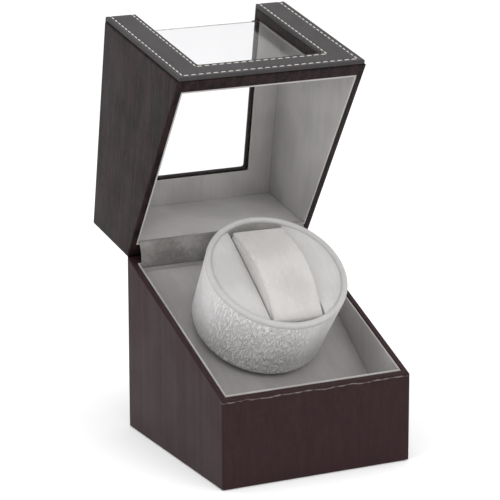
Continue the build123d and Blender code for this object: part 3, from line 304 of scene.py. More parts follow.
# %% The leather grain group
def build_grain(tree, given):
    """The height of the pebble; Cell is the size of one pebble."""
    wobble = tree.node("ShaderNodeTexNoise",
                       {"Vector": given["Vector"], "Scale": 1 / (2 * mm), "Detail": 1.0})
    shift = tree.node("ShaderNodeVectorMath", {0: wobble.outputs["Color"], 1: (0.5, 0.5, 0.5)},
                      operation="SUBTRACT")
    pushed = tree.node("ShaderNodeVectorMath", {0: shift.outputs[0], "Scale": 0.6 * mm}, operation="SCALE")
    bent = tree.node("ShaderNodeVectorMath", {0: given["Vector"], 1: pushed.outputs[0]}, operation="ADD")
    inputs = {"Vector": bent.outputs[0], "Randomness": 1.0, "Scale": tree.op("DIVIDE", 1.0, given["Cell"])}
    cells = tree.node("ShaderNodeTexVoronoi", inputs, feature="DISTANCE_TO_EDGE")
    pebble = tree.ramp(cells.outputs["Distance"], 0.0, 0.16)
    swell = tree.noise(given["Vector"], 5 * mm)
    return {"Height": tree.op("ADD", pebble, tree.op("MULTIPLY", swell, 0.5))}


grain_group = pattern_group("leather_grain",
                            [("Vector", "NodeSocketVector"), ("Cell", "NodeSocketFloat")],
                            [("Height", "NodeSocketFloat")], build_grain)


# %% [markdown]
# ### Suede nap and brushed streaks
# Suede has no pebble. Its nap lies this way and that, which shows as long soft streaks, and close up it
# is a fine fuzz. The same streaks, coarser and darker, are in the long-grained leatherette of the lid.

# %% The streak group, which both share
def build_streaks(tree, given):
    """Streaks drawn out by Squeeze, broad patches and a fine fuzz."""
    stretched = tree.stretch(given["Vector"], given["Squeeze"])
    fine = tree.noise(stretched, 0.8 * mm, 3.0, 0.6)
    broad = tree.noise(stretched, 4 * mm, 2.0, 0.5, 0.4)
    patch = tree.noise(given["Vector"], 28 * mm, 1.0)
    streak = tree.op("ADD", tree.op("MULTIPLY", fine, 0.55), tree.op("MULTIPLY", broad, 0.45))
    fuzz = tree.noise(given["Vector"], 0.35 * mm)
    return {"Streak": streak, "Patch": tree.ramp(patch, 0.3, 0.7), "Fuzz": fuzz}


streak_group = pattern_group("brushed_streaks",
                             [("Vector", "NodeSocketVector"), ("Squeeze", "NodeSocketVector")],
                             [("Streak", "NodeSocketFloat"), ("Patch", "NodeSocketFloat"),
                              ("Fuzz", "NodeSocketFloat")], build_streaks)


# %% [markdown]
# ### One recipe for every finish
# Each material starts from the same few lines: a Principled shader, the object's own coordinates, turned
# so that a streak can follow the lid or the drum, and a bump. Whatever is the same all over a surface is
# set on the shader itself.

# %% The start of every material
def new_finish(name, roughness, turn=None, **sockets):
    """A material with a Principled shader; returns it, its tree, its shader and turned coordinates."""
    finish = bpy.data.materials.new(name)
    finish.use_nodes = True
    tree = Tree(finish.node_tree)
    shader = finish.node_tree.nodes["Principled BSDF"]
    shader.inputs["Roughness"].default_value = roughness
    for socket, value in sockets.items():
        shader.inputs[socket.replace("_", " ")].default_value = value
    place = tree.node("ShaderNodeTexCoord").outputs["Object"]
    if turn is not None:
        place = tree.node("ShaderNodeMapping", {"Vector": place, "Rotation": turn.to_euler()}).outputs[0]
    return finish, tree, shader, place


def bump(tree, shader, height, depth):
    """Feed a height to the shader's normal; depth is how deep the pattern is, in metres."""
    made = tree.node("ShaderNodeBump", {"Height": height, "Distance": depth, "Strength": 1.0})
    tree.feed(made.outputs[0], shader, "Normal")


def tint(tree, shader, tone, dark, light):
    """Colour the shader from dark to light along a tone."""
    tree.feed(tree.mix(tone, (*dark, 1), (*light, 1)), shader, "Base Color")


def grained_leather(name, dark, light, roughness, cell, depth, turn=None, squeeze=(1, 1, 1), streaks=0.0,
                    shine_level=0.12):
    """Leatherette: a pebble grain, with its colour drawn out into streaks."""
    finish, tree, shader, place = new_finish(name, roughness, turn, Specular_IOR_Level=shine_level)
    grain = tree.node("ShaderNodeGroup", {"Vector": place, "Cell": cell}, node_tree=grain_group)
    lines = tree.node("ShaderNodeGroup", {"Vector": place, "Squeeze": squeeze}, node_tree=streak_group)
    half_band = 0.2 * (1.2 - streaks)  # a narrow band makes strong streaks
    tint(tree, shader, tree.ramp(lines.outputs["Streak"], 0.5 - half_band, 0.5 + half_band), dark, light)
    shine = tree.ramp(lines.outputs["Patch"], 0.0, 1.0, roughness - 0.02, roughness + 0.03)
    tree.feed(shine, shader, "Roughness")
    drawn = tree.op("MULTIPLY", lines.outputs["Streak"], 3 * streaks)
    bump(tree, shader, tree.op("ADD", grain.outputs["Height"], drawn), depth)
    return finish


pucker_depth = 0.75 * mm


def gathered_leather(name, dark, light, facing):
    """Leatherette pulled around a drum: upright puckers, deepest where it faces one way; the colour is painted
    shade in their valleys and a painted highlight on their crests.
    """
    finish, tree, shader, place = new_finish(name, 0.5, drum_turn, Specular_IOR_Level=0.4)
    centred = tree.node("ShaderNodeVectorMath", {0: place, 1: -drum_centre}, operation="ADD").outputs[0]
    stretched = tree.stretch(centred, (1, 1, 0.3))
    puckers = tree.noise(stretched, 1.15 * mm, 2.0, 0.55, 0.25)
    fine = tree.noise(stretched, 0.5 * mm, 2.0, 0.5, 0.1)
    flat = tree.stretch(centred, (1, 1, 0))
    aim = tree.node("ShaderNodeVectorMath", {0: flat}, operation="NORMALIZE").outputs[0]
    faced = tree.node("ShaderNodeVectorMath", {0: aim, 1: facing}, operation="DOT_PRODUCT").outputs["Value"]
    drift = tree.op("MULTIPLY", tree.noise(centred, 22 * mm, 1.0), 0.3)
    gather = tree.ramp(tree.op("ADD", faced, drift), 0.80, 1.08, 0.2, 1.0)
    raised = tree.op("ADD", tree.ramp(puckers, 0.38, 0.62), tree.op("MULTIPLY", fine, 0.5))
    raised = tree.op("MULTIPLY", raised, gather)
    # painted shade: the colour follows the pucker height, darker in the valleys and lighter on the crests, so it
    # is lighter where the puckers gather; the broad noise adds a random tone
    tone = tree.ramp(tree.op("ADD", raised, tree.noise(centred, 14 * mm)), 0.3, 1.4)
    tint(tree, shader, tone, dark, light)
    bump(tree, shader, raised, pucker_depth)
    return finish


def suede(name, dark, light, turn=None, squeeze=(1, 1, 1), depth=0.14 * mm):
    """Suede: streaks of nap, a fine fuzz and a soft sheen."""
    finish, tree, shader, place = new_finish(name, 0.85, turn, Specular_IOR_Level=0.25, Sheen_Weight=0.25,
                                             Sheen_Roughness=0.45)
    lines = tree.node("ShaderNodeGroup", {"Vector": place, "Squeeze": squeeze}, node_tree=streak_group)
    tone = tree.op("ADD", tree.op("MULTIPLY", lines.outputs["Streak"], 0.7),
                    tree.op("MULTIPLY", lines.outputs["Patch"], 0.3))
    tint(tree, shader, tree.ramp(tone, 0.3, 0.7), dark, light)
    raised = tree.op("ADD", lines.outputs["Streak"], tree.op("MULTIPLY", lines.outputs["Fuzz"], 0.5))
    bump(tree, shader, raised, depth)
    return finish


# %% The leathers and suedes of this box
lid_turn = swing.to_quaternion()
drum_turn = upright.to_quaternion()
drum_centre = drum_turn @ Vector(spindle["pos_m"])
base_leather = grained_leather("espresso_leather_base", (0.024, 0.0105, 0.0122), (0.032, 0.0145, 0.0162),
                               0.46, 0.9 * mm, 0.015 * mm, None, (1, 1, 0.25), 0.25)
lid_leather = grained_leather("espresso_leather_lid", (0.007, 0.0046, 0.0052), (0.025, 0.0130, 0.0136), 0.48,
                              0.8 * mm, 0.05 * mm, lid_turn, (1, 0.12, 1), 0.9, 0.09)
frame_leather = grained_leather("stitched_leather", (0.024, 0.020, 0.022), (0.040, 0.035, 0.037), 0.5,
                                0.7 * mm, 0.06 * mm, shine_level=0.4)
most_gathered = math.radians(-122)  # the way the drum's deepest puckers face
front_left = Vector((math.cos(most_gathered), math.sin(most_gathered), 0))
# the drum leather's dark colour shows in the pucker valleys, as painted shade
drum_leather = gathered_leather("pale_leather_drum", (0.57, 0.56, 0.56), (0.79, 0.78, 0.78), front_left)
rim_leather = grained_leather("pale_leather_rim", (0.455, 0.447, 0.443), (0.515, 0.506, 0.497), 0.5,
                              0.8 * mm, 0.04 * mm, drum_turn, shine_level=0.4)
base_suede = suede("grey_suede_base", (0.33, 0.315, 0.308), (0.39, 0.375, 0.368), None, (1, 1, 0.15))
deck_suede = suede("grey_suede_deck", (0.34, 0.325, 0.318), (0.40, 0.385, 0.378), drum_turn, (1, 0.15, 1))
lid_suede = suede("grey_suede_lid", (0.40, 0.385, 0.378), (0.47, 0.455, 0.447), lid_turn, (1, 0.12, 1))
drum_suede = suede("pale_suede_drum", (0.49, 0.48, 0.475), (0.56, 0.55, 0.545), drum_turn, (1, 0.2, 1))
# the flap's suede is a darker copy of the grey lining suede: painted shade of the hinge recess under the lid
shaded_flap_suede = suede("creased_suede_flap_painted_shade", (0.15, 0.142, 0.137), (0.28, 0.27, 0.26), None, (0.5, 1, 0.6),
                   0.4 * mm)
cup_suede = suede("gathered_suede_cup", (0.40, 0.385, 0.37), (0.56, 0.545, 0.53), drum_turn, (1, 1, 0.12),
                  0.5 * mm)
cushion_suede = suede("pale_suede_cushion", (0.49, 0.47, 0.46), (0.58, 0.56, 0.55), drum_turn, (1, 0.25, 1))


# %% [markdown]
# ### Painted highlight on the crinkles along the front rim
# Where the base's leather turns over the front rim it crinkles, and the crinkles catch the light. They are
# too fine for the mesh, so a painted highlight, a wavering broken line, is mixed into the colour just below the
# rim.

# %% A painted highlight, a broken pale line below the front rim
def paint_crinkle_highlight(finish, drop, width):
    """Paint a highlight into a finish: a wavering, broken pale line a little below the front rim."""
    tree = Tree(finish.node_tree)
    shader = finish.node_tree.nodes["Principled BSDF"]
    under = shader.inputs["Base Color"].links[0].from_socket
    place = tree.node("ShaderNodeTexCoord").outputs["Object"]
    y, z = tree.node("ShaderNodeSeparateXYZ", {0: place}).outputs[1:]
    rim = tree.op("ADD", tree.op("MULTIPLY", tree.op("SUBTRACT", y, base_low.y), rim_slope), rim_front)
    waver = tree.op("MULTIPLY", tree.op("SUBTRACT", tree.noise(place, 7 * mm, 2.0), 0.5), 2.4 * mm)
    below = tree.op("ADD", tree.op("SUBTRACT", rim, z), waver)
    off_line = tree.op("ABSOLUTE", tree.op("SUBTRACT", below, drop), 0.0)
    line = tree.ramp(off_line, 0.0, width, 1.0, 0.0)
    broken = tree.ramp(tree.noise(tree.stretch(place, (0.4, 1, 1)), 1.6 * mm, 3.0), 0.25, 0.7)
    at_front = tree.ramp(y, base_low.y + 0.8 * mm, base_low.y + 2.4 * mm, 1.0, 0.0)
    share = tree.op("MULTIPLY", tree.op("MULTIPLY", line, broken), tree.op("MULTIPLY", at_front, 0.8))
    # the pale colour mixed in here is a painted highlight, where the crinkles catch the light
    tree.feed(tree.mix(share, under, (0.26, 0.23, 0.23, 1)), shader, "Base Color")
    print(finish.name, "has its crinkles", round(drop / mm, 1), "mm below the rim")


paint_crinkle_highlight(base_leather, 1.3 * mm, 0.6 * mm)

# %% [markdown]
# ### Everything else
# Acrylic, thread, fibreboard, felt, foam, steel, brass and plastics. None of these is large in view, yet
# each has its own small pattern: brushing on the steel, fibres in the board, pores in the foam.

# %% Plain finishes with one pattern each
def patterned(name, dark, light, roughness, size, depth, squeeze=(1, 1, 1), **sockets):
    """A finish whose colour and bump follow one stretched noise."""
    finish, tree, shader, place = new_finish(name, roughness, None, **sockets)
    speckle = tree.noise(tree.stretch(place, squeeze), size, 3.0, 0.6)
    tint(tree, shader, tree.ramp(speckle, 0.3, 0.7), dark, light)
    shine = tree.ramp(speckle, 0.25, 0.75, roughness * 0.85, min(1, roughness * 1.15))
    tree.feed(shine, shader, "Roughness")
    bump(tree, shader, speckle, depth)
    return finish


thread = patterned("cream_thread", (0.60, 0.57, 0.52), (0.82, 0.79, 0.74), 0.7, 0.25 * mm, 0.03 * mm)
fibreboard = patterned("fibreboard", (0.30, 0.21, 0.13), (0.42, 0.31, 0.20), 0.85, 1.2 * mm, 0.05 * mm)
felt = patterned("black_felt", (0.012, 0.012, 0.013), (0.04, 0.04, 0.042), 0.95, 0.5 * mm, 0.1 * mm,
                 Sheen_Weight=0.3)
foam = patterned("foam", (0.60, 0.57, 0.45), (0.78, 0.75, 0.62), 0.9, 0.8 * mm, 0.2 * mm)
steel = patterned("bright_steel", (0.45, 0.45, 0.46), (0.62, 0.62, 0.63), 0.3, 0.5 * mm, 0.005 * mm,
                  (0.1, 1, 1), Metallic=1.0)
motor_steel = patterned("drawn_steel", (0.40, 0.40, 0.41), (0.56, 0.56, 0.57), 0.35, 0.6 * mm, 0.005 * mm,
                        (1, 1, 0.1), Metallic=1.0)
brass = patterned("turned_brass", (0.55, 0.38, 0.14), (0.72, 0.54, 0.24), 0.28, 0.4 * mm, 0.004 * mm,
                  (1, 1, 0.1), Metallic=1.0)
white_plastic = patterned("white_moulding", (0.70, 0.70, 0.68), (0.80, 0.80, 0.78), 0.4, 3 * mm, 0.01 * mm)
gear_plastic = patterned("gear_plastic", (0.74, 0.73, 0.68), (0.84, 0.83, 0.79), 0.38, 2 * mm, 0.01 * mm)
black_plastic = patterned("black_plastic", (0.012, 0.012, 0.013), (0.026, 0.026, 0.028), 0.42, 0.6 * mm,
                          0.02 * mm)
board_green = patterned("board_green", (0.01, 0.09, 0.04), (0.03, 0.16, 0.07), 0.3, 1.5 * mm, 0.01 * mm)


def clear_acrylic():
    """Polished acrylic, with the faintest haze on it."""
    finish, tree, shader, place = new_finish("clear_acrylic", 0.02, None, Transmission_Weight=1.0, IOR=1.2)
    haze = tree.noise(place, 9 * mm, 2.0)
    tint(tree, shader, haze, (0.95, 0.95, 0.957), (0.935, 0.935, 0.942))
    return finish


acrylic = clear_acrylic()
print(len(bpy.data.materials), "finishes")

# %% Give every node of the engineering model its finish
by_slot = {"dark_leather": base_leather, "frame_leather": frame_leather, "grey_suede": base_suede,
           "clear_acrylic": acrylic, "fibreboard": fibreboard, "black_felt": felt,
           "drum_leather": drum_leather, "drum_suede": drum_suede, "cushion_suede": cushion_suede,
           "foam": foam, "white_moulding": white_plastic, "steel": steel, "motor_steel": motor_steel,
           "brass": brass, "white_gear": gear_plastic, "board_green": board_green,
           "black_plastic": black_plastic}
for part in frame["record"]["subparts"]:
    node = frame["nodes"][part["node"]]
    node.data.materials.clear()
    node.data.materials.append(by_slot[part["material_slot"]])

# %% [markdown]
# ## The base's leather skin
# A sheet of leatherette is wrapped around the four walls and folded over their sloping top edge. It is
# modelled as a box whose top is pulled up to the slope; the top is cut into a rim, the middle is taken
# away, and the edges are rounded as thick leather rounds over board.

# %% Rims, trays and folds
inner_gap = 0.05 * mm  # between the skin's fold and the boards behind it
fold_depth = 2.5 * mm
fold_radius = 0.95 * mm  # leather turned over a board's edge
skin_thickness = 0.6 * mm


def rim_height(y):
    """Height of the base's sloping rim."""
    return rim_front + (y - base_low.y) * rim_slope


def is_inside(point, low, high):
    """Whether a point lies within a rectangle seen from above."""
    return low.x < point.x < high.x and low.y < point.y < high.y


def open_tray(mesh, low, high):
    """Cut a rectangle through a box's top and bottom and take out what is inside it."""
    cut(mesh, 0, low.x, high.x)
    cut(mesh, 1, low.y, high.y)
    drop_faces(mesh, lambda f: abs(f.normal.z) > 0.3 and is_inside(f.calc_center_median(), low, high))


def fold_in(mesh, edges, depth):
    """Pull loose edges straight down or up, as leather is folded over a board's edge."""
    pulled = bmesh.ops.extrude_edge_only(mesh, edges=edges)["geom"]
    bmesh.ops.translate(mesh, vec=Vector((0, 0, depth)), verts=corners_in(pulled))


def crumple(mesh, near, reach, height, size):
    """Push a skin's sides in and out a little where they are folded over an edge."""
    mesh.normal_update()
    for vertex in mesh.verts:
        share = max(0, 1 - near(vertex.co) / reach) * (1 - abs(vertex.normal.z)) ** 2
        if share:
            wave = ripple(Vector((vertex.co.x, vertex.co.y, vertex.co.z * 0.4)), size)
            fine = ripple(vertex.co, size / 3, 5)
            vertex.co += vertex.normal * share * height * (wave + 0.5 * fine)


# %% The base's skin
tray_low = Vector((deck_low.x - inner_gap, deck_low.y - inner_gap, 0))
tray_high = Vector((deck_high.x + inner_gap, deck_high.y + inner_gap, 0))
skin = block(base_low, base_high)
for corner in skin.verts:
    if corner.co.z > (base_low.z + base_high.z) / 2:
        corner.co.z = rim_height(corner.co.y)
open_tray(skin, tray_low, tray_high)
fold_in(skin, [e for e in skin.edges if e.is_boundary and e.verts[0].co.z > rim_front / 2], -fold_depth)
skin.normal_update()
outer = [e for e in hard_edges(skin, 20)
         if not any(is_inside(v.co, tray_low * 1.02, tray_high * 1.02) for v in e.verts)]
round_off(skin, [e for e in outer if any(v.co.z > base_low.z + mm for v in e.verts)], fold_radius, 4)
inner = [e for e in hard_edges(skin, 50) if is_inside((e.verts[0].co + e.verts[1].co) / 2,
                                                      tray_low * 1.01, tray_high * 1.01)]
round_off(skin, inner, 1.0 * mm, 3)
cut(skin, 0, *rungs(base_low.x, base_high.x, 1.3 * mm))
cut(skin, 1, *rungs(base_low.y, base_high.y, 2.0 * mm))
crumple(skin, lambda c: max(0, rim_height(c.y) - c.z), 3.5 * mm, 0.3 * mm, 3.2 * mm)
base_skin = piece(skin, "base_skin", base_leather, "base", ["base_leather"])
shell(base_skin, skin_thickness)

# %% [markdown]
# ## The lid's leather skin
# The lid is the same work upside down, with a window that runs over its front top edge. The window is cut
# in both faces, and its loose edge is pulled inwards, so the leather lines the opening as on the real lid.

# %% Where the lid's window is
top_low, top_high = span("lid_top_board", shut)
pane_low = span("window_front_pane", shut)[0]
roof_high = span("window_top_pane", shut)[1]
overlay_low, overlay_high = span("frame_front", shut)
cover_high = span("frame_top", shut)[1]
lining_low = span("lid_front_lining", shut)[0]
least_strip = 10 * mm  # the frame is wider than this on either side of the window
by_window = 0.1 * mm
window_half = max(abs(c.x) for c in corners_of("lid_top_lining", shut)
                  if abs(c.x) < overlay_high.x - least_strip)
window_sill = min(c.z for c in corners_of("frame_front", shut) if abs(abs(c.x) - window_half) < by_window)
window_back = max(c.y for c in corners_of("frame_top", shut) if abs(abs(c.x) - window_half) < by_window)
print("window, mm: half", round(window_half / mm, 1), "sill", round(window_sill / mm, 1),
      "back", round(window_back / mm, 1))


# %% The lid's block and its cuts
def lid_edge(y):
    """Height of the lid's sloping edge."""
    return lid_front + (y - lid_low.y) * rim_slope


lid_tray_low = Vector((top_low.x - inner_gap, lining_low.y - inner_gap, 0))
lid_tray_high = Vector((top_high.x + inner_gap, span("lid_rear_board", shut)[0].y + inner_gap, 0))
cap = block(lid_low, lid_high)
for corner in cap.verts:
    if corner.co.z < (lid_low.z + lid_high.z) / 2:
        corner.co.z = lid_edge(corner.co.y)
cut(cap, 0, lid_tray_low.x, -window_half, window_half, lid_tray_high.x)
cut(cap, 1, lid_tray_low.y, window_back, lid_tray_high.y)
cut(cap, 2, window_sill)


def in_window(face):
    """Whether a face of the lid lies in the window's opening."""
    middle = face.calc_center_median()
    if abs(middle.x) > window_half:
        return False
    on_front = middle.y < lid_low.y + inner_gap and middle.z > window_sill
    on_top = middle.z > lid_high.z - inner_gap and middle.y < window_back
    return on_front or on_top


# %% Open the lid and fold its loose edges in
drop_faces(cap, lambda f: f.normal.z < -0.3
           and is_inside(f.calc_center_median(), lid_tray_low, lid_tray_high))
drop_faces(cap, in_window)
loose = [e for e in cap.edges if e.is_boundary]
window_edge = [e for e in loose if all(abs(v.co.x) < window_half + inner_gap for v in e.verts)
               and (max(v.co.z for v in e.verts) > window_sill - inner_gap)
               and (min(v.co.y for v in e.verts) < window_back + inner_gap)
               and (all(v.co.y < lid_low.y + inner_gap or v.co.z > lid_high.z - inner_gap for v in e.verts))]
pulled = bmesh.ops.extrude_edge_only(cap, edges=window_edge)["geom"]
for corner in corners_in(pulled):
    at_front = corner.co.y < lid_low.y + inner_gap
    at_top = corner.co.z > lid_high.z - inner_gap
    corner.co.y += (pane_low.y - lid_low.y) * at_front
    corner.co.z -= (lid_high.z - roof_high.z) * at_top
fold_in(cap, [e for e in loose if e.is_valid and e not in window_edge], fold_depth)
bmesh.ops.recalc_face_normals(cap, faces=cap.faces[:])
print("folded", len(window_edge), "edges into the window")


# %% Round the lid and finish it
def is_corner_edge(edge):
    """Whether an edge stands in one of the window's four corners."""
    first, second = edge.verts
    return abs(first.co.x - second.co.x) < inner_gap and all(
        abs(abs(v.co.x) - window_half) < inner_gap
        and (abs(v.co.z - window_sill) < inner_gap or abs(v.co.y - window_back) < inner_gap)
        for v in edge.verts)


round_off(cap, [e for e in cap.edges if len(e.link_faces) == 2 and is_corner_edge(e)], 2 * mm, 4)
outer = [e for e in hard_edges(cap, 20) if any(abs(abs(v.co.x) - lid_high.x) < inner_gap
         or v.co.y < lid_low.y + inner_gap or v.co.y > lid_high.y - inner_gap for v in e.verts)
         and not all(abs(v.co.x) < window_half + by_window and v.co.z > window_sill - by_window
                     for v in e.verts)]
round_off(cap, outer, fold_radius, 4)
cut(cap, 0, *rungs(lid_low.x, lid_high.x, 2.2 * mm))
cut(cap, 1, *rungs(lid_low.y, lid_high.y, 2.2 * mm))
crumple(cap, lambda c: max(0, c.z - lid_edge(c.y)), 4 * mm, 0.16 * mm, 3.5 * mm)
lid_skin = piece(cap, "lid_skin", lid_leather, "lid", ["lid_leather"], ajar)
shell(lid_skin, skin_thickness)

# %% [markdown]
# ## The stitched frame
# A second layer of leather, padded a little, frames the window and is carried over the lid's edge. It is
# one sheet here: two flat faces that share the edge, cut to a U on each, pulled out to their thickness and
# rounded. Two rows of stitches pull a shallow valley into it.

# %% Rows of stitches
stitch_out = 3.5 * mm  # from the outer edge
stitch_in = 2.4 * mm  # from the window
valley_width = 1.1 * mm
valley_depth = 0.28 * mm
front_lift = overlay_high.y - overlay_low.y
top_lift = cover_high.z - lid_high.z
seam_edge = Vector((0, lid_low.y, lid_high.z))

row_x = [side * place for side in (-1, 1) for place in (overlay_high.x - stitch_out, window_half + stitch_in)]
row_z = [overlay_low.z + stitch_out, window_sill - stitch_in]
row_y = [cover_high.y - stitch_out, window_back + stitch_in]


# %% The frame's padded sheet
def sheet_faces():
    """The outline of the padded sheet, on the lid's front and top faces."""
    mesh = bmesh.new()
    edge = overlay_high.x
    spots = [(-edge, lid_low.y, overlay_low.z), (edge, lid_low.y, overlay_low.z), (edge, *seam_edge.yz),
             (-edge, *seam_edge.yz), (edge, cover_high.y, lid_high.z), (-edge, cover_high.y, lid_high.z)]
    made = [mesh.verts.new(spot) for spot in spots]
    mesh.faces.new(made[:4])
    mesh.faces.new([made[3], made[2], made[4], made[5]])
    cut(mesh, 0, -window_half, window_half)
    cut(mesh, 2, window_sill)
    cut(mesh, 1, window_back)
    drop_faces(mesh, in_window)
    return mesh


pad = sheet_faces()
lifted = bmesh.ops.extrude_face_region(pad, geom=pad.faces[:])["geom"]
for corner in corners_in(lifted):
    on_front = corner.co.y < lid_low.y + inner_gap
    on_top = corner.co.z > lid_high.z - inner_gap
    corner.co.y -= front_lift * on_front
    corner.co.z += top_lift * on_top
bmesh.ops.recalc_face_normals(pad, faces=pad.faces[:])
round_off(pad, [e for e in hard_edges(pad) if is_corner_edge(e)], 1.5 * mm, 4)
round_off(pad, hard_edges(pad), 0.72 * mm, 3)
steps = [offset * valley_width / 2 for offset in (-2, -1, 0, 1, 2)]
cut(pad, 0, *[place + step for place in row_x for step in steps])
cut(pad, 2, *[place + step for place in row_z for step in steps])
cut(pad, 1, *[place + step for place in row_y for step in steps])
cut(pad, 0, *rungs(overlay_low.x, overlay_high.x, 3 * mm))
cut(pad, 1, *rungs(lid_low.y + 2 * mm, cover_high.y, 3 * mm))
cut(pad, 2, *rungs(overlay_low.z, lid_high.z - 2 * mm, 3 * mm))


# %% Valleys along the rows
def row_distance(point):
    """How far a point of the sheet lies from the nearest row of stitches."""
    found = []
    for out, x in ((True, row_x[2]), (False, row_x[3])):
        z_row = row_z[0] if out else row_z[1]
        y_row = row_y[0] if out else row_y[1]
        if point.y < y_row and point.z > z_row:
            found.append(abs(abs(point.x) - x))
        if abs(point.x) < x:
            on_front = point.y < lid_low.y
            found.append(abs(point.z - z_row) if on_front else abs(point.y - y_row))
    return min(found, default=1.0)


pad.normal_update()
for corner in pad.verts:
    above = lid_low.y - corner.co.y > 0.5 * front_lift or corner.co.z - lid_high.z > 0.5 * top_lift
    if above:
        dip = math.exp(-(row_distance(corner.co) / (0.6 * valley_width)) ** 2)
        corner.co -= corner.normal * valley_depth * dip
        corner.co += corner.normal * 0.05 * mm * ripple(corner.co, 5 * mm)
piece(pad, "stitched_frame", frame_leather, "lid",
      ["frame_front", "frame_top"], ajar)

# %% [markdown]
# ## Stitches
# Each stitch is a short piece of thick cream thread whose ends dive into the leather. A few dozen faces
# each is enough: a stretched ball, sunk to about half. A loop walks along each row and sets them at an
# even pitch, which is how a machine sews.

# %% Stitches along the two rows
pitch = 4.9 * mm
stitch_length = 3.5 * mm
thread_radius = 0.42 * mm


def stitch(mesh, spot, along, outward):
    """One stitch: a stretched ball along a direction, half sunk in the leather."""
    side = outward.cross(along)
    turn = Matrix((along * stitch_length / 2, side * thread_radius, outward * thread_radius)).transposed()
    place = Matrix.Translation(spot) @ turn.to_4x4()
    lying = Matrix.Rotation(math.pi / 2, 4, "Y")
    bmesh.ops.create_uvsphere(mesh, u_segments=8, v_segments=6, radius=1, matrix=place @ lying)


def sew(mesh, path, outward):
    """Stitches along straight runs between the points of a path, all on one face of the lid."""
    for start, end in zip(path, path[1:]):
        run = end - start
        count = max(1, round(run.length / pitch))
        for index in range(count):
            stitch(mesh, start + run * (index + 0.5) / count, run.normalized(), outward)


seams = bmesh.new()
forward = Vector((0, -1, 0))
upward = Vector((0, 0, 1))
sunk = valley_depth + 0.1 * mm - 0.3 * thread_radius
front_y = overlay_low.y + sunk
top_z = cover_high.z - sunk
for x, z_row, y_row in ((row_x[2], row_z[0], row_y[0]), (row_x[3], row_z[1], row_y[1])):
    sew(seams, [Vector((-x, front_y, top_z - mm)), Vector((-x, front_y, z_row)), Vector((x, front_y, z_row)),
                Vector((x, front_y, top_z - mm))], forward)
    sew(seams, [Vector((-x, front_y + mm, top_z)), Vector((-x, y_row, top_z)), Vector((x, y_row, top_z)),
                Vector((x, front_y + mm, top_z))], upward)
piece(seams, "frame_stitches", thread, "lid", (), ajar)

# %% [markdown]
# ## Linings and deck
# The linings are suede over card. Their cut edges are wrapped, so they are round and catch the light as a
# thin bright line along the rim. Copies of the plain panels with rounded edges give exactly that.

# %% Rounded lining panels
for node, finish, body, width in (("base_linings", base_suede, "base", 0.55 * mm),
                                  ("lid_side_linings", lid_suede, "lid", 0.55 * mm),
                                  ("lid_front_lining", lid_suede, "lid", 0.55 * mm),
                                  ("lid_top_lining", lid_suede, "lid", 0.5 * mm),
                                  ("lid_rear_lining", lid_suede, "lid", 0.55 * mm),
                                  ("deck_suede", deck_suede, "base", 0.3 * mm)):
    piece(softened(node, width, 3), node + "_padded", finish, body, [node])

# %% [markdown]
# ## The hinge's flap and strip
# Inside, a band of suede hides the hinge; outside, a strip of leather does. Both are glued to the base and
# to the lid, and bend between them. A copy of each plain band is cut into a fine net, relaxed so that its
# corners turn into bends, and puckered a little, as fabric is that folds every day.

# %% A band across the joint
net_tall = 0.9 * mm
net_wide = 1.2 * mm


def hinge_band(node, finish, pucker, widen=1.0):
    """The soft version of a band that joins the base to the lid."""
    mesh = merged_copy(node)
    low, high = span(node)
    cut(mesh, 2, *rungs(low.z, high.z, net_tall))
    cut(mesh, 1, *rungs(low.y, high.y, net_tall))
    cut(mesh, 0, *rungs(low.x, high.x, net_wide))
    inside = [v for v in mesh.verts if low.x + 0.5 * mm < v.co.x < high.x - 0.5 * mm]
    for _ in range(3):
        bmesh.ops.smooth_vert(mesh, verts=inside, factor=0.5, use_axis_x=False, use_axis_y=True,
                              use_axis_z=True)
    middle = (low.z + high.z) / 2
    push = Vector((0, -0.8, 0.4))
    for vertex in mesh.verts:
        free = math.exp(-((vertex.co.z - middle) / (0.4 * (high.z - low.z))) ** 2)
        flow = Vector((vertex.co.x, 0.5 * vertex.co.y, 0.5 * vertex.co.z))
        wave = ripple(flow, 4 * mm, 7) + 0.5 * ripple(flow, 1.8 * mm, 2)
        vertex.co += pucker * free * wave * push
        vertex.co.x *= widen
    width = (high.x - low.x) * widen
    length = sum(face.calc_area() for face in mesh.faces) / 2 / width
    made = piece(mesh, node + "_soft", finish, None, [node], crease=70)
    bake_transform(made)


hinge_band("hinge_flap", shaded_flap_suede, 0.42 * mm, 1.028)
hinge_band("hinge_strip", base_leather, 0.08 * mm, 1.06)

# %% [markdown]
# ## The drum
# A tapered cup wrapped in pale leather. Its wall is a profile spun about the axis.
# The wrap isn't quite smooth: it was pulled round by hand, so it has faint upright puckers, and one
# slanting crease at the front, pushed into the mesh after the spin.

# %% Sizes of the drum
wrap_low, wrap_high = span("drum_wrap", upright)
band_low, band_high = span("drum_rim", upright)
cheek_low, cheek_high = span("drum_cheeks", upright)
foot_radius = max(c.xy.length for c in corners_of("drum_wrap", upright) if c.z < wrap_low.z + 3.2 * mm)
rim_radius = band_high.x
drum_foot = 3 * mm
taper = (rim_radius - foot_radius) / (band_high.z - wrap_low.z)


def wall_radius(z):
    """Radius of the drum's tapered wall at a height."""
    return foot_radius + taper * (z - wrap_low.z)


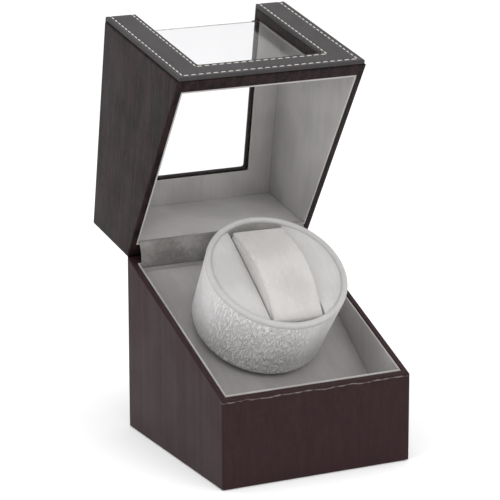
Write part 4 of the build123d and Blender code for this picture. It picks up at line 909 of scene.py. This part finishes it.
# %% Turning a profile
def spun(profile, steps):
    """A shape turned about the upright axis; the profile's points are (radius, height)."""
    mesh = bmesh.new()
    made = [mesh.verts.new((radius, 0, z)) for radius, z in profile]
    edges = [mesh.edges.new(pair) for pair in zip(made, made[1:] + made[:1])]
    bmesh.ops.spin(mesh, geom=made + edges, cent=(0, 0, 0), axis=(0, 0, 1), angle=2 * math.pi, steps=steps,
                   use_merge=True)
    bmesh.ops.remove_doubles(mesh, verts=mesh.verts[:], dist=1e-6)
    bmesh.ops.recalc_face_normals(mesh, faces=mesh.faces[:])
    return mesh


def arc(centre, radius, start, end, count):
    """Points on an arc in the profile, from one angle to another in degrees."""
    turns = [math.radians(start + (end - start) * i / count) for i in range(count + 1)]
    return [(centre[0] + radius * math.cos(turn), centre[1] + radius * math.sin(turn)) for turn in turns]


# %% The drum's sleeve
skin_t = 0.7 * mm
hub_radius = min(c.xy.length for c in corners_of("drum_wrap", upright))
low = wrap_low.z
side = [(wall_radius(z), z) for z in [low + drum_foot] + rungs(low + drum_foot, wrap_high.z, 0.8 * mm)
        + [wrap_high.z]]
foot_arc = arc((foot_radius - drum_foot, low + drum_foot), drum_foot, -90, 0, 6)
profile = [(hub_radius, low)] + foot_arc[:-1] + side
profile += [(wall_radius(wrap_high.z) - skin_t, wrap_high.z), (foot_radius - skin_t, low + drum_foot),
            (foot_radius - drum_foot, low + skin_t), (hub_radius, low + skin_t)]
wrap = spun(profile, 320)

# %% Puckers and a crease
wrap.normal_update()
crease_top = math.radians(-97)
crease_lean = 0.15
for corner in wrap.verts:
    spot = corner.co
    if spot.xy.length < wall_radius(spot.z) - 0.3 * mm:
        continue
    rise = (spot.z - low) / (wrap_high.z - low)
    fade = min(1, 4 * rise) * min(1, 9 * (1 - rise))
    pucker = ripple(Vector((spot.x, spot.y, spot.z * 0.3)), 2.6 * mm)
    swell = ripple(Vector((spot.x, spot.y, spot.z * 0.5)), 9 * mm, 3)
    turn = math.atan2(spot.y, spot.x)
    off_line = (turn - crease_top + crease_lean * (1 - rise)) * wall_radius(spot.z)
    ridge = math.exp(-(off_line / (0.9 * mm)) ** 2) * min(1, 3 * (1 - rise))
    corner.co += corner.normal * fade * mm * (0.10 * pucker + 0.12 * swell + 0.14 * ridge)
piece(wrap, "drum_sleeve", drum_leather, "drum", ["drum_wrap"], tilted)

# %% [markdown]
# ## The cup's lining and the padded rim
# The suede inside the cup is drawn together around it, so it gets a finish with upright gathers; its shape
# is already right. The rim is a roll of leather over a cord: a half circle spun about the axis, closed
# underneath, and made a little uneven.

# %% The cup's lining
cup = frame["nodes"]["drum_lining"]
cup.data.materials[0] = cup_suede
print("cup lined with", cup_suede.name)

# %% The padded rim
inner_radius = min(c.xy.length for c in corners_of("drum_rim", upright))
band_half = (rim_radius - inner_radius) / 2
band_mid = (rim_radius + inner_radius) / 2
bead = arc((band_mid, band_high.z - band_half), band_half, 180, 0, 14)
bead += [(wall_radius(band_low.z), band_low.z - 0.15 * mm), (wall_radius(band_low.z) - 0.5 * mm, band_low.z),
         (inner_radius + 0.3 * mm, band_low.z), (inner_radius, band_low.z + 0.3 * mm)]
rim = spun(bead, 200)
for corner in rim.verts:
    corner.co.z += 0.07 * mm * ripple(corner.co, 8 * mm)
piece(rim, "drum_rim_bead", rim_leather, "drum", ["drum_rim"], tilted)

# %% [markdown]
# ## The cheeks
# Two half-moon pads fill the cup on either side of the slot. Each is a disc cut straight along the slot,
# pulled down to the cup's floor. The suede is drawn over soft foam, so the top swells in the middle and
# falls away towards the slot.

# %% Two half-moon pads
slot_half = min(abs(c.x) for c in corners_of("drum_cheeks", upright)) - 0.5 * mm
cheek_radius = max(c.xy.length for c in corners_of("drum_cheeks", upright) if c.z > cheek_high.z - 3 * mm)
cheek_foot = max(c.xy.length for c in corners_of("drum_cheeks", upright) if c.z < cheek_low.z + mm)
swell_height = 1.3 * mm
fall_width = 9 * mm
fall_depth = 1.1 * mm


def half_moon(hand):
    """One pad, on the right for 1 and on the left for -1."""
    mesh = bmesh.new()
    bmesh.ops.create_circle(mesh, cap_ends=True, segments=120, radius=cheek_radius)
    everything = mesh.verts[:] + mesh.edges[:] + mesh.faces[:]
    bmesh.ops.bisect_plane(mesh, geom=everything, dist=1e-7, plane_co=(hand * slot_half, 0, 0),
                           plane_no=(-hand, 0, 0), clear_outer=True)
    bmesh.ops.translate(mesh, vec=(0, 0, cheek_high.z), verts=mesh.verts[:])
    deep = bmesh.ops.extrude_face_region(mesh, geom=mesh.faces[:])["geom"]
    for corner in corners_in(deep):
        corner.co.z = cheek_low.z
        reach = corner.co.xy.length
        if reach > cheek_foot:
            corner.co.x = max(slot_half, abs(corner.co.x) * cheek_foot / reach) * hand
            corner.co.y *= cheek_foot / reach
    bmesh.ops.recalc_face_normals(mesh, faces=mesh.faces[:])
    top_edges = [e for e in hard_edges(mesh, 40) if all(v.co.z > cheek_high.z - mm for v in e.verts)]
    round_off(mesh, top_edges, 1.3 * mm, 4)
    cut(mesh, 0, *[hand * (slot_half + step * mm) for step in (2, 3, 4, 5, 6, 7.5, 9, 11, 13, 15, 17)])
    cut(mesh, 1, *rungs(-cheek_radius, cheek_radius, 2.5 * mm))
    for corner in mesh.verts:
        if corner.co.z > cheek_high.z - 1.5 * mm:
            reach = min(1, corner.co.xy.length / cheek_radius)
            near = max(0, 1 - (abs(corner.co.x) - slot_half) / fall_width)
            corner.co.z += swell_height * (1 - reach ** 4) - fall_depth * near ** 2
            corner.co.z += 0.12 * mm * ripple(corner.co, 6 * mm)
    return mesh


cheeks = half_moon(1)
other = half_moon(-1)
spare = bpy.data.meshes.new("spare_half_moon")
other.to_mesh(spare)
other.free()
cheeks.from_mesh(spare)
bpy.data.meshes.remove(spare)
cheek_pads = piece(cheeks, "drum_cheek_pads", drum_suede, "drum", ["drum_cheeks"], tilted, 50)

# %% [markdown]
# ## The watch cushion
# An arched pillow that a watch strap closes around. Foam in a suede cover swells between its seams, and
# a cloth simulation makes that swelling: the plain arched block is remeshed finely, blown up from inside
# for a few frames and kept from moving far. The seam along each side is pressed in afterwards, where the
# cover is sewn and pulled down.

# %% The cushion's plain block
pillow_low, pillow_high = span("cushion_cover", upright)
pillow_front_fall = 12 * mm  # from the crown to the front end
pillow_back_fall = 8.5 * mm
pillow_lean = 0.03  # it sits a little higher on the left
pillow_depth = 15 * mm
pillow_crown = 0.6 * mm  # how far the crown is raised above the plain cushion
seam_drop = 3.2 * mm  # the seam along each side, below the edge


def arch_fall(y):
    """How far the arch lies below its crown at a place along the slot."""
    share = (y - (pillow_low.y + pillow_high.y) / 2) / ((pillow_high.y - pillow_low.y) / 2)
    return (pillow_back_fall if share > 0 else pillow_front_fall) * share ** 2


def arched_block(shrink):
    """The cushion's plain block: an arch along the slot, a little smaller than the cushion."""
    lo, hi = pillow_low + Vector((shrink,) * 3), pillow_high - Vector((shrink, shrink, -pillow_crown))
    lo.z = hi.z - pillow_front_fall - pillow_depth
    mesh = block(lo, hi)
    cut(mesh, 1, *rungs(lo.y, hi.y, 1.6 * mm))
    for corner in mesh.verts:
        if corner.co.z > (lo.z + hi.z) / 2:
            corner.co.z -= arch_fall(corner.co.y) + pillow_lean * corner.co.x
        else:
            reach = (wall_radius(corner.co.z) - 4.6 * mm) * 0.92
            corner.co.y = max(-reach, min(reach, corner.co.y))
    bmesh.ops.recalc_face_normals(mesh, faces=mesh.faces[:])
    return mesh


# %% Swelling by cloth simulation
def rebuilt(made):
    """Replace an object's mesh by what its modifiers make of it."""
    made_now = made.evaluated_get(bpy.context.evaluated_depsgraph_get())
    data = bpy.data.meshes.new_from_object(made_now)
    made.modifiers.clear()
    old = made.data
    made.data = data
    bpy.data.meshes.remove(old)


def swell(made, cell, most):
    """Remesh a closed block finely and blow it up as cloth; no point may move further than most."""
    grid = made.modifiers.new("remesh", "REMESH")
    grid.mode = "VOXEL"
    grid.voxel_size = cell
    rebuilt(made)
    start = [vertex.co.copy() for vertex in made.data.vertices]
    cloth = made.modifiers.new("cloth", "CLOTH")
    cloth.settings.use_pressure = True
    cloth.settings.uniform_pressure_force = 4
    cloth.settings.tension_stiffness = 12
    cloth.settings.compression_stiffness = 12
    cloth.settings.bending_stiffness = 0.6
    cloth.settings.effector_weights.gravity = 0
    for moment in range(1, 21):
        scene.frame_set(moment)
    rebuilt(made)
    furthest = 0
    for vertex, first in zip(made.data.vertices, start):
        move = vertex.co - first
        if move.length > most:
            vertex.co = first + move.normalized() * most
        furthest = max(furthest, (vertex.co - first).length)
    scene.frame_set(1)
    print(made.name, "swelled by up to", round(furthest / mm, 2), "mm,", len(made.data.vertices), "points")


# %% The swollen cushion
pillow = arched_block(0.15 * mm)
round_off(pillow, hard_edges(pillow, 60), 0.6 * mm, 2)
cushion = piece(pillow, "watch_cushion", cushion_suede, "cushion", ["cushion_cover"],
                crease=50)
swell(cushion, 1.25 * mm, 0.6 * mm)
cushion.data.materials.clear()
cushion.data.materials.append(cushion_suede)

# %% Its side seams, and back into the drum
pillow = bmesh.new()
pillow.from_mesh(cushion.data)
bmesh.ops.subdivide_edges(pillow, edges=pillow.edges[:], cuts=1, smooth=0.4, use_grid_fill=True)
pillow.normal_update()
for corner in pillow.verts:
    spot = corner.co
    edge_z = pillow_high.z + pillow_crown - arch_fall(spot.y) - pillow_lean * spot.x
    on_side = min(1, max(0, (abs(spot.x) - pillow_high.x + 2 * mm) / mm))
    along = math.exp(-((edge_z - spot.z - seam_drop) / (0.7 * mm)) ** 2)
    spot.x -= math.copysign(0.55 * mm * on_side * along, spot.x)
    spot.z += 0.10 * mm * ripple(spot, 7 * mm, 4)
bmesh.ops.transform(pillow, matrix=tilted, verts=pillow.verts[:])
for face in pillow.faces:
    face.smooth = True
pillow.to_mesh(cushion.data)
pillow.free()
cushion.data.set_sharp_from_angle(angle=math.radians(55))

# %% [markdown]
# ## Stage, light and camera
# A pale floor and soft lamps, as in a small product studio. The camera stands to the left of the front
# and looks slightly down.

# %% Floor
floor_mesh = bmesh.new()
bmesh.ops.create_grid(floor_mesh, x_segments=1, y_segments=1, size=6)
floor_data = bpy.data.meshes.new("floor")
floor_mesh.to_mesh(floor_data)
floor_mesh.free()
floor = bpy.data.objects.new("floor", floor_data)
scene.collection.objects.link(floor)
pale, _, pale_shader, _ = new_finish("pale_floor", 0.9, None, Specular_IOR_Level=0.0)
pale_shader.inputs["Base Color"].default_value = (0.93, 0.93, 0.93, 1)
pale_shader.inputs["Emission Color"].default_value = (1, 1, 1, 1)
pale_shader.inputs["Emission Strength"].default_value = 0.2
floor.data.materials.append(pale)
floor.location.z = cad_box[0].z


# %% Lamps
def lamp(name, spot, aim, size, power):
    """A rectangular softbox that points at a spot."""
    light = bpy.data.lights.new(name, "AREA")
    light.shape = "RECTANGLE"
    light.size, light.size_y = size
    light.energy = power
    holder = bpy.data.objects.new(name, light)
    scene.collection.objects.link(holder)
    holder.location = spot
    holder.rotation_euler = (Vector(aim) - Vector(spot)).to_track_quat("-Z", "Y").to_euler()
    print(name, power, "W")


middle_of_box = (0, 0, 0.1)
lamp("softbox_left", (-1.1, -0.35, 0.75), middle_of_box, (0.9, 0.9), 3)
lamp("softbox_front", (0.35, -1.3, 0.9), middle_of_box, (1.0, 0.7), 3.8)
lamp("softbox_top", (0.1, 0.1, 1.5), middle_of_box, (1.2, 1.2), 4.5)

world = bpy.data.worlds.new("studio") if scene.world is None else scene.world
scene.world = world
world.use_nodes = True
world.node_tree.nodes["Background"].inputs["Color"].default_value = (1, 1, 1, 1)
world.node_tree.nodes["Background"].inputs["Strength"].default_value = 0.84
scene.view_settings.view_transform = "Standard"

# %% Camera
camera_spot = Vector((-0.73381, -1.46994, 0.55994))
look = Vector((0.42632, 0.86718, -0.25738))
screen_right = Vector((0.89721, -0.44159, -0.00171))
screen_up = screen_right.cross(look)
camera_data = bpy.data.cameras.new("camera")
camera_data.lens = 202.36
camera_data.sensor_width = 36
camera_data.shift_y = 0.002
camera = bpy.data.objects.new("camera", camera_data)
scene.collection.objects.link(camera)
camera.matrix_world = Matrix.Translation(camera_spot) @ Matrix(
    (screen_right, screen_up, -look)).transposed().to_4x4()
scene.camera = camera
print("camera stands", round(camera_spot.length, 2), "m from the box's foot")
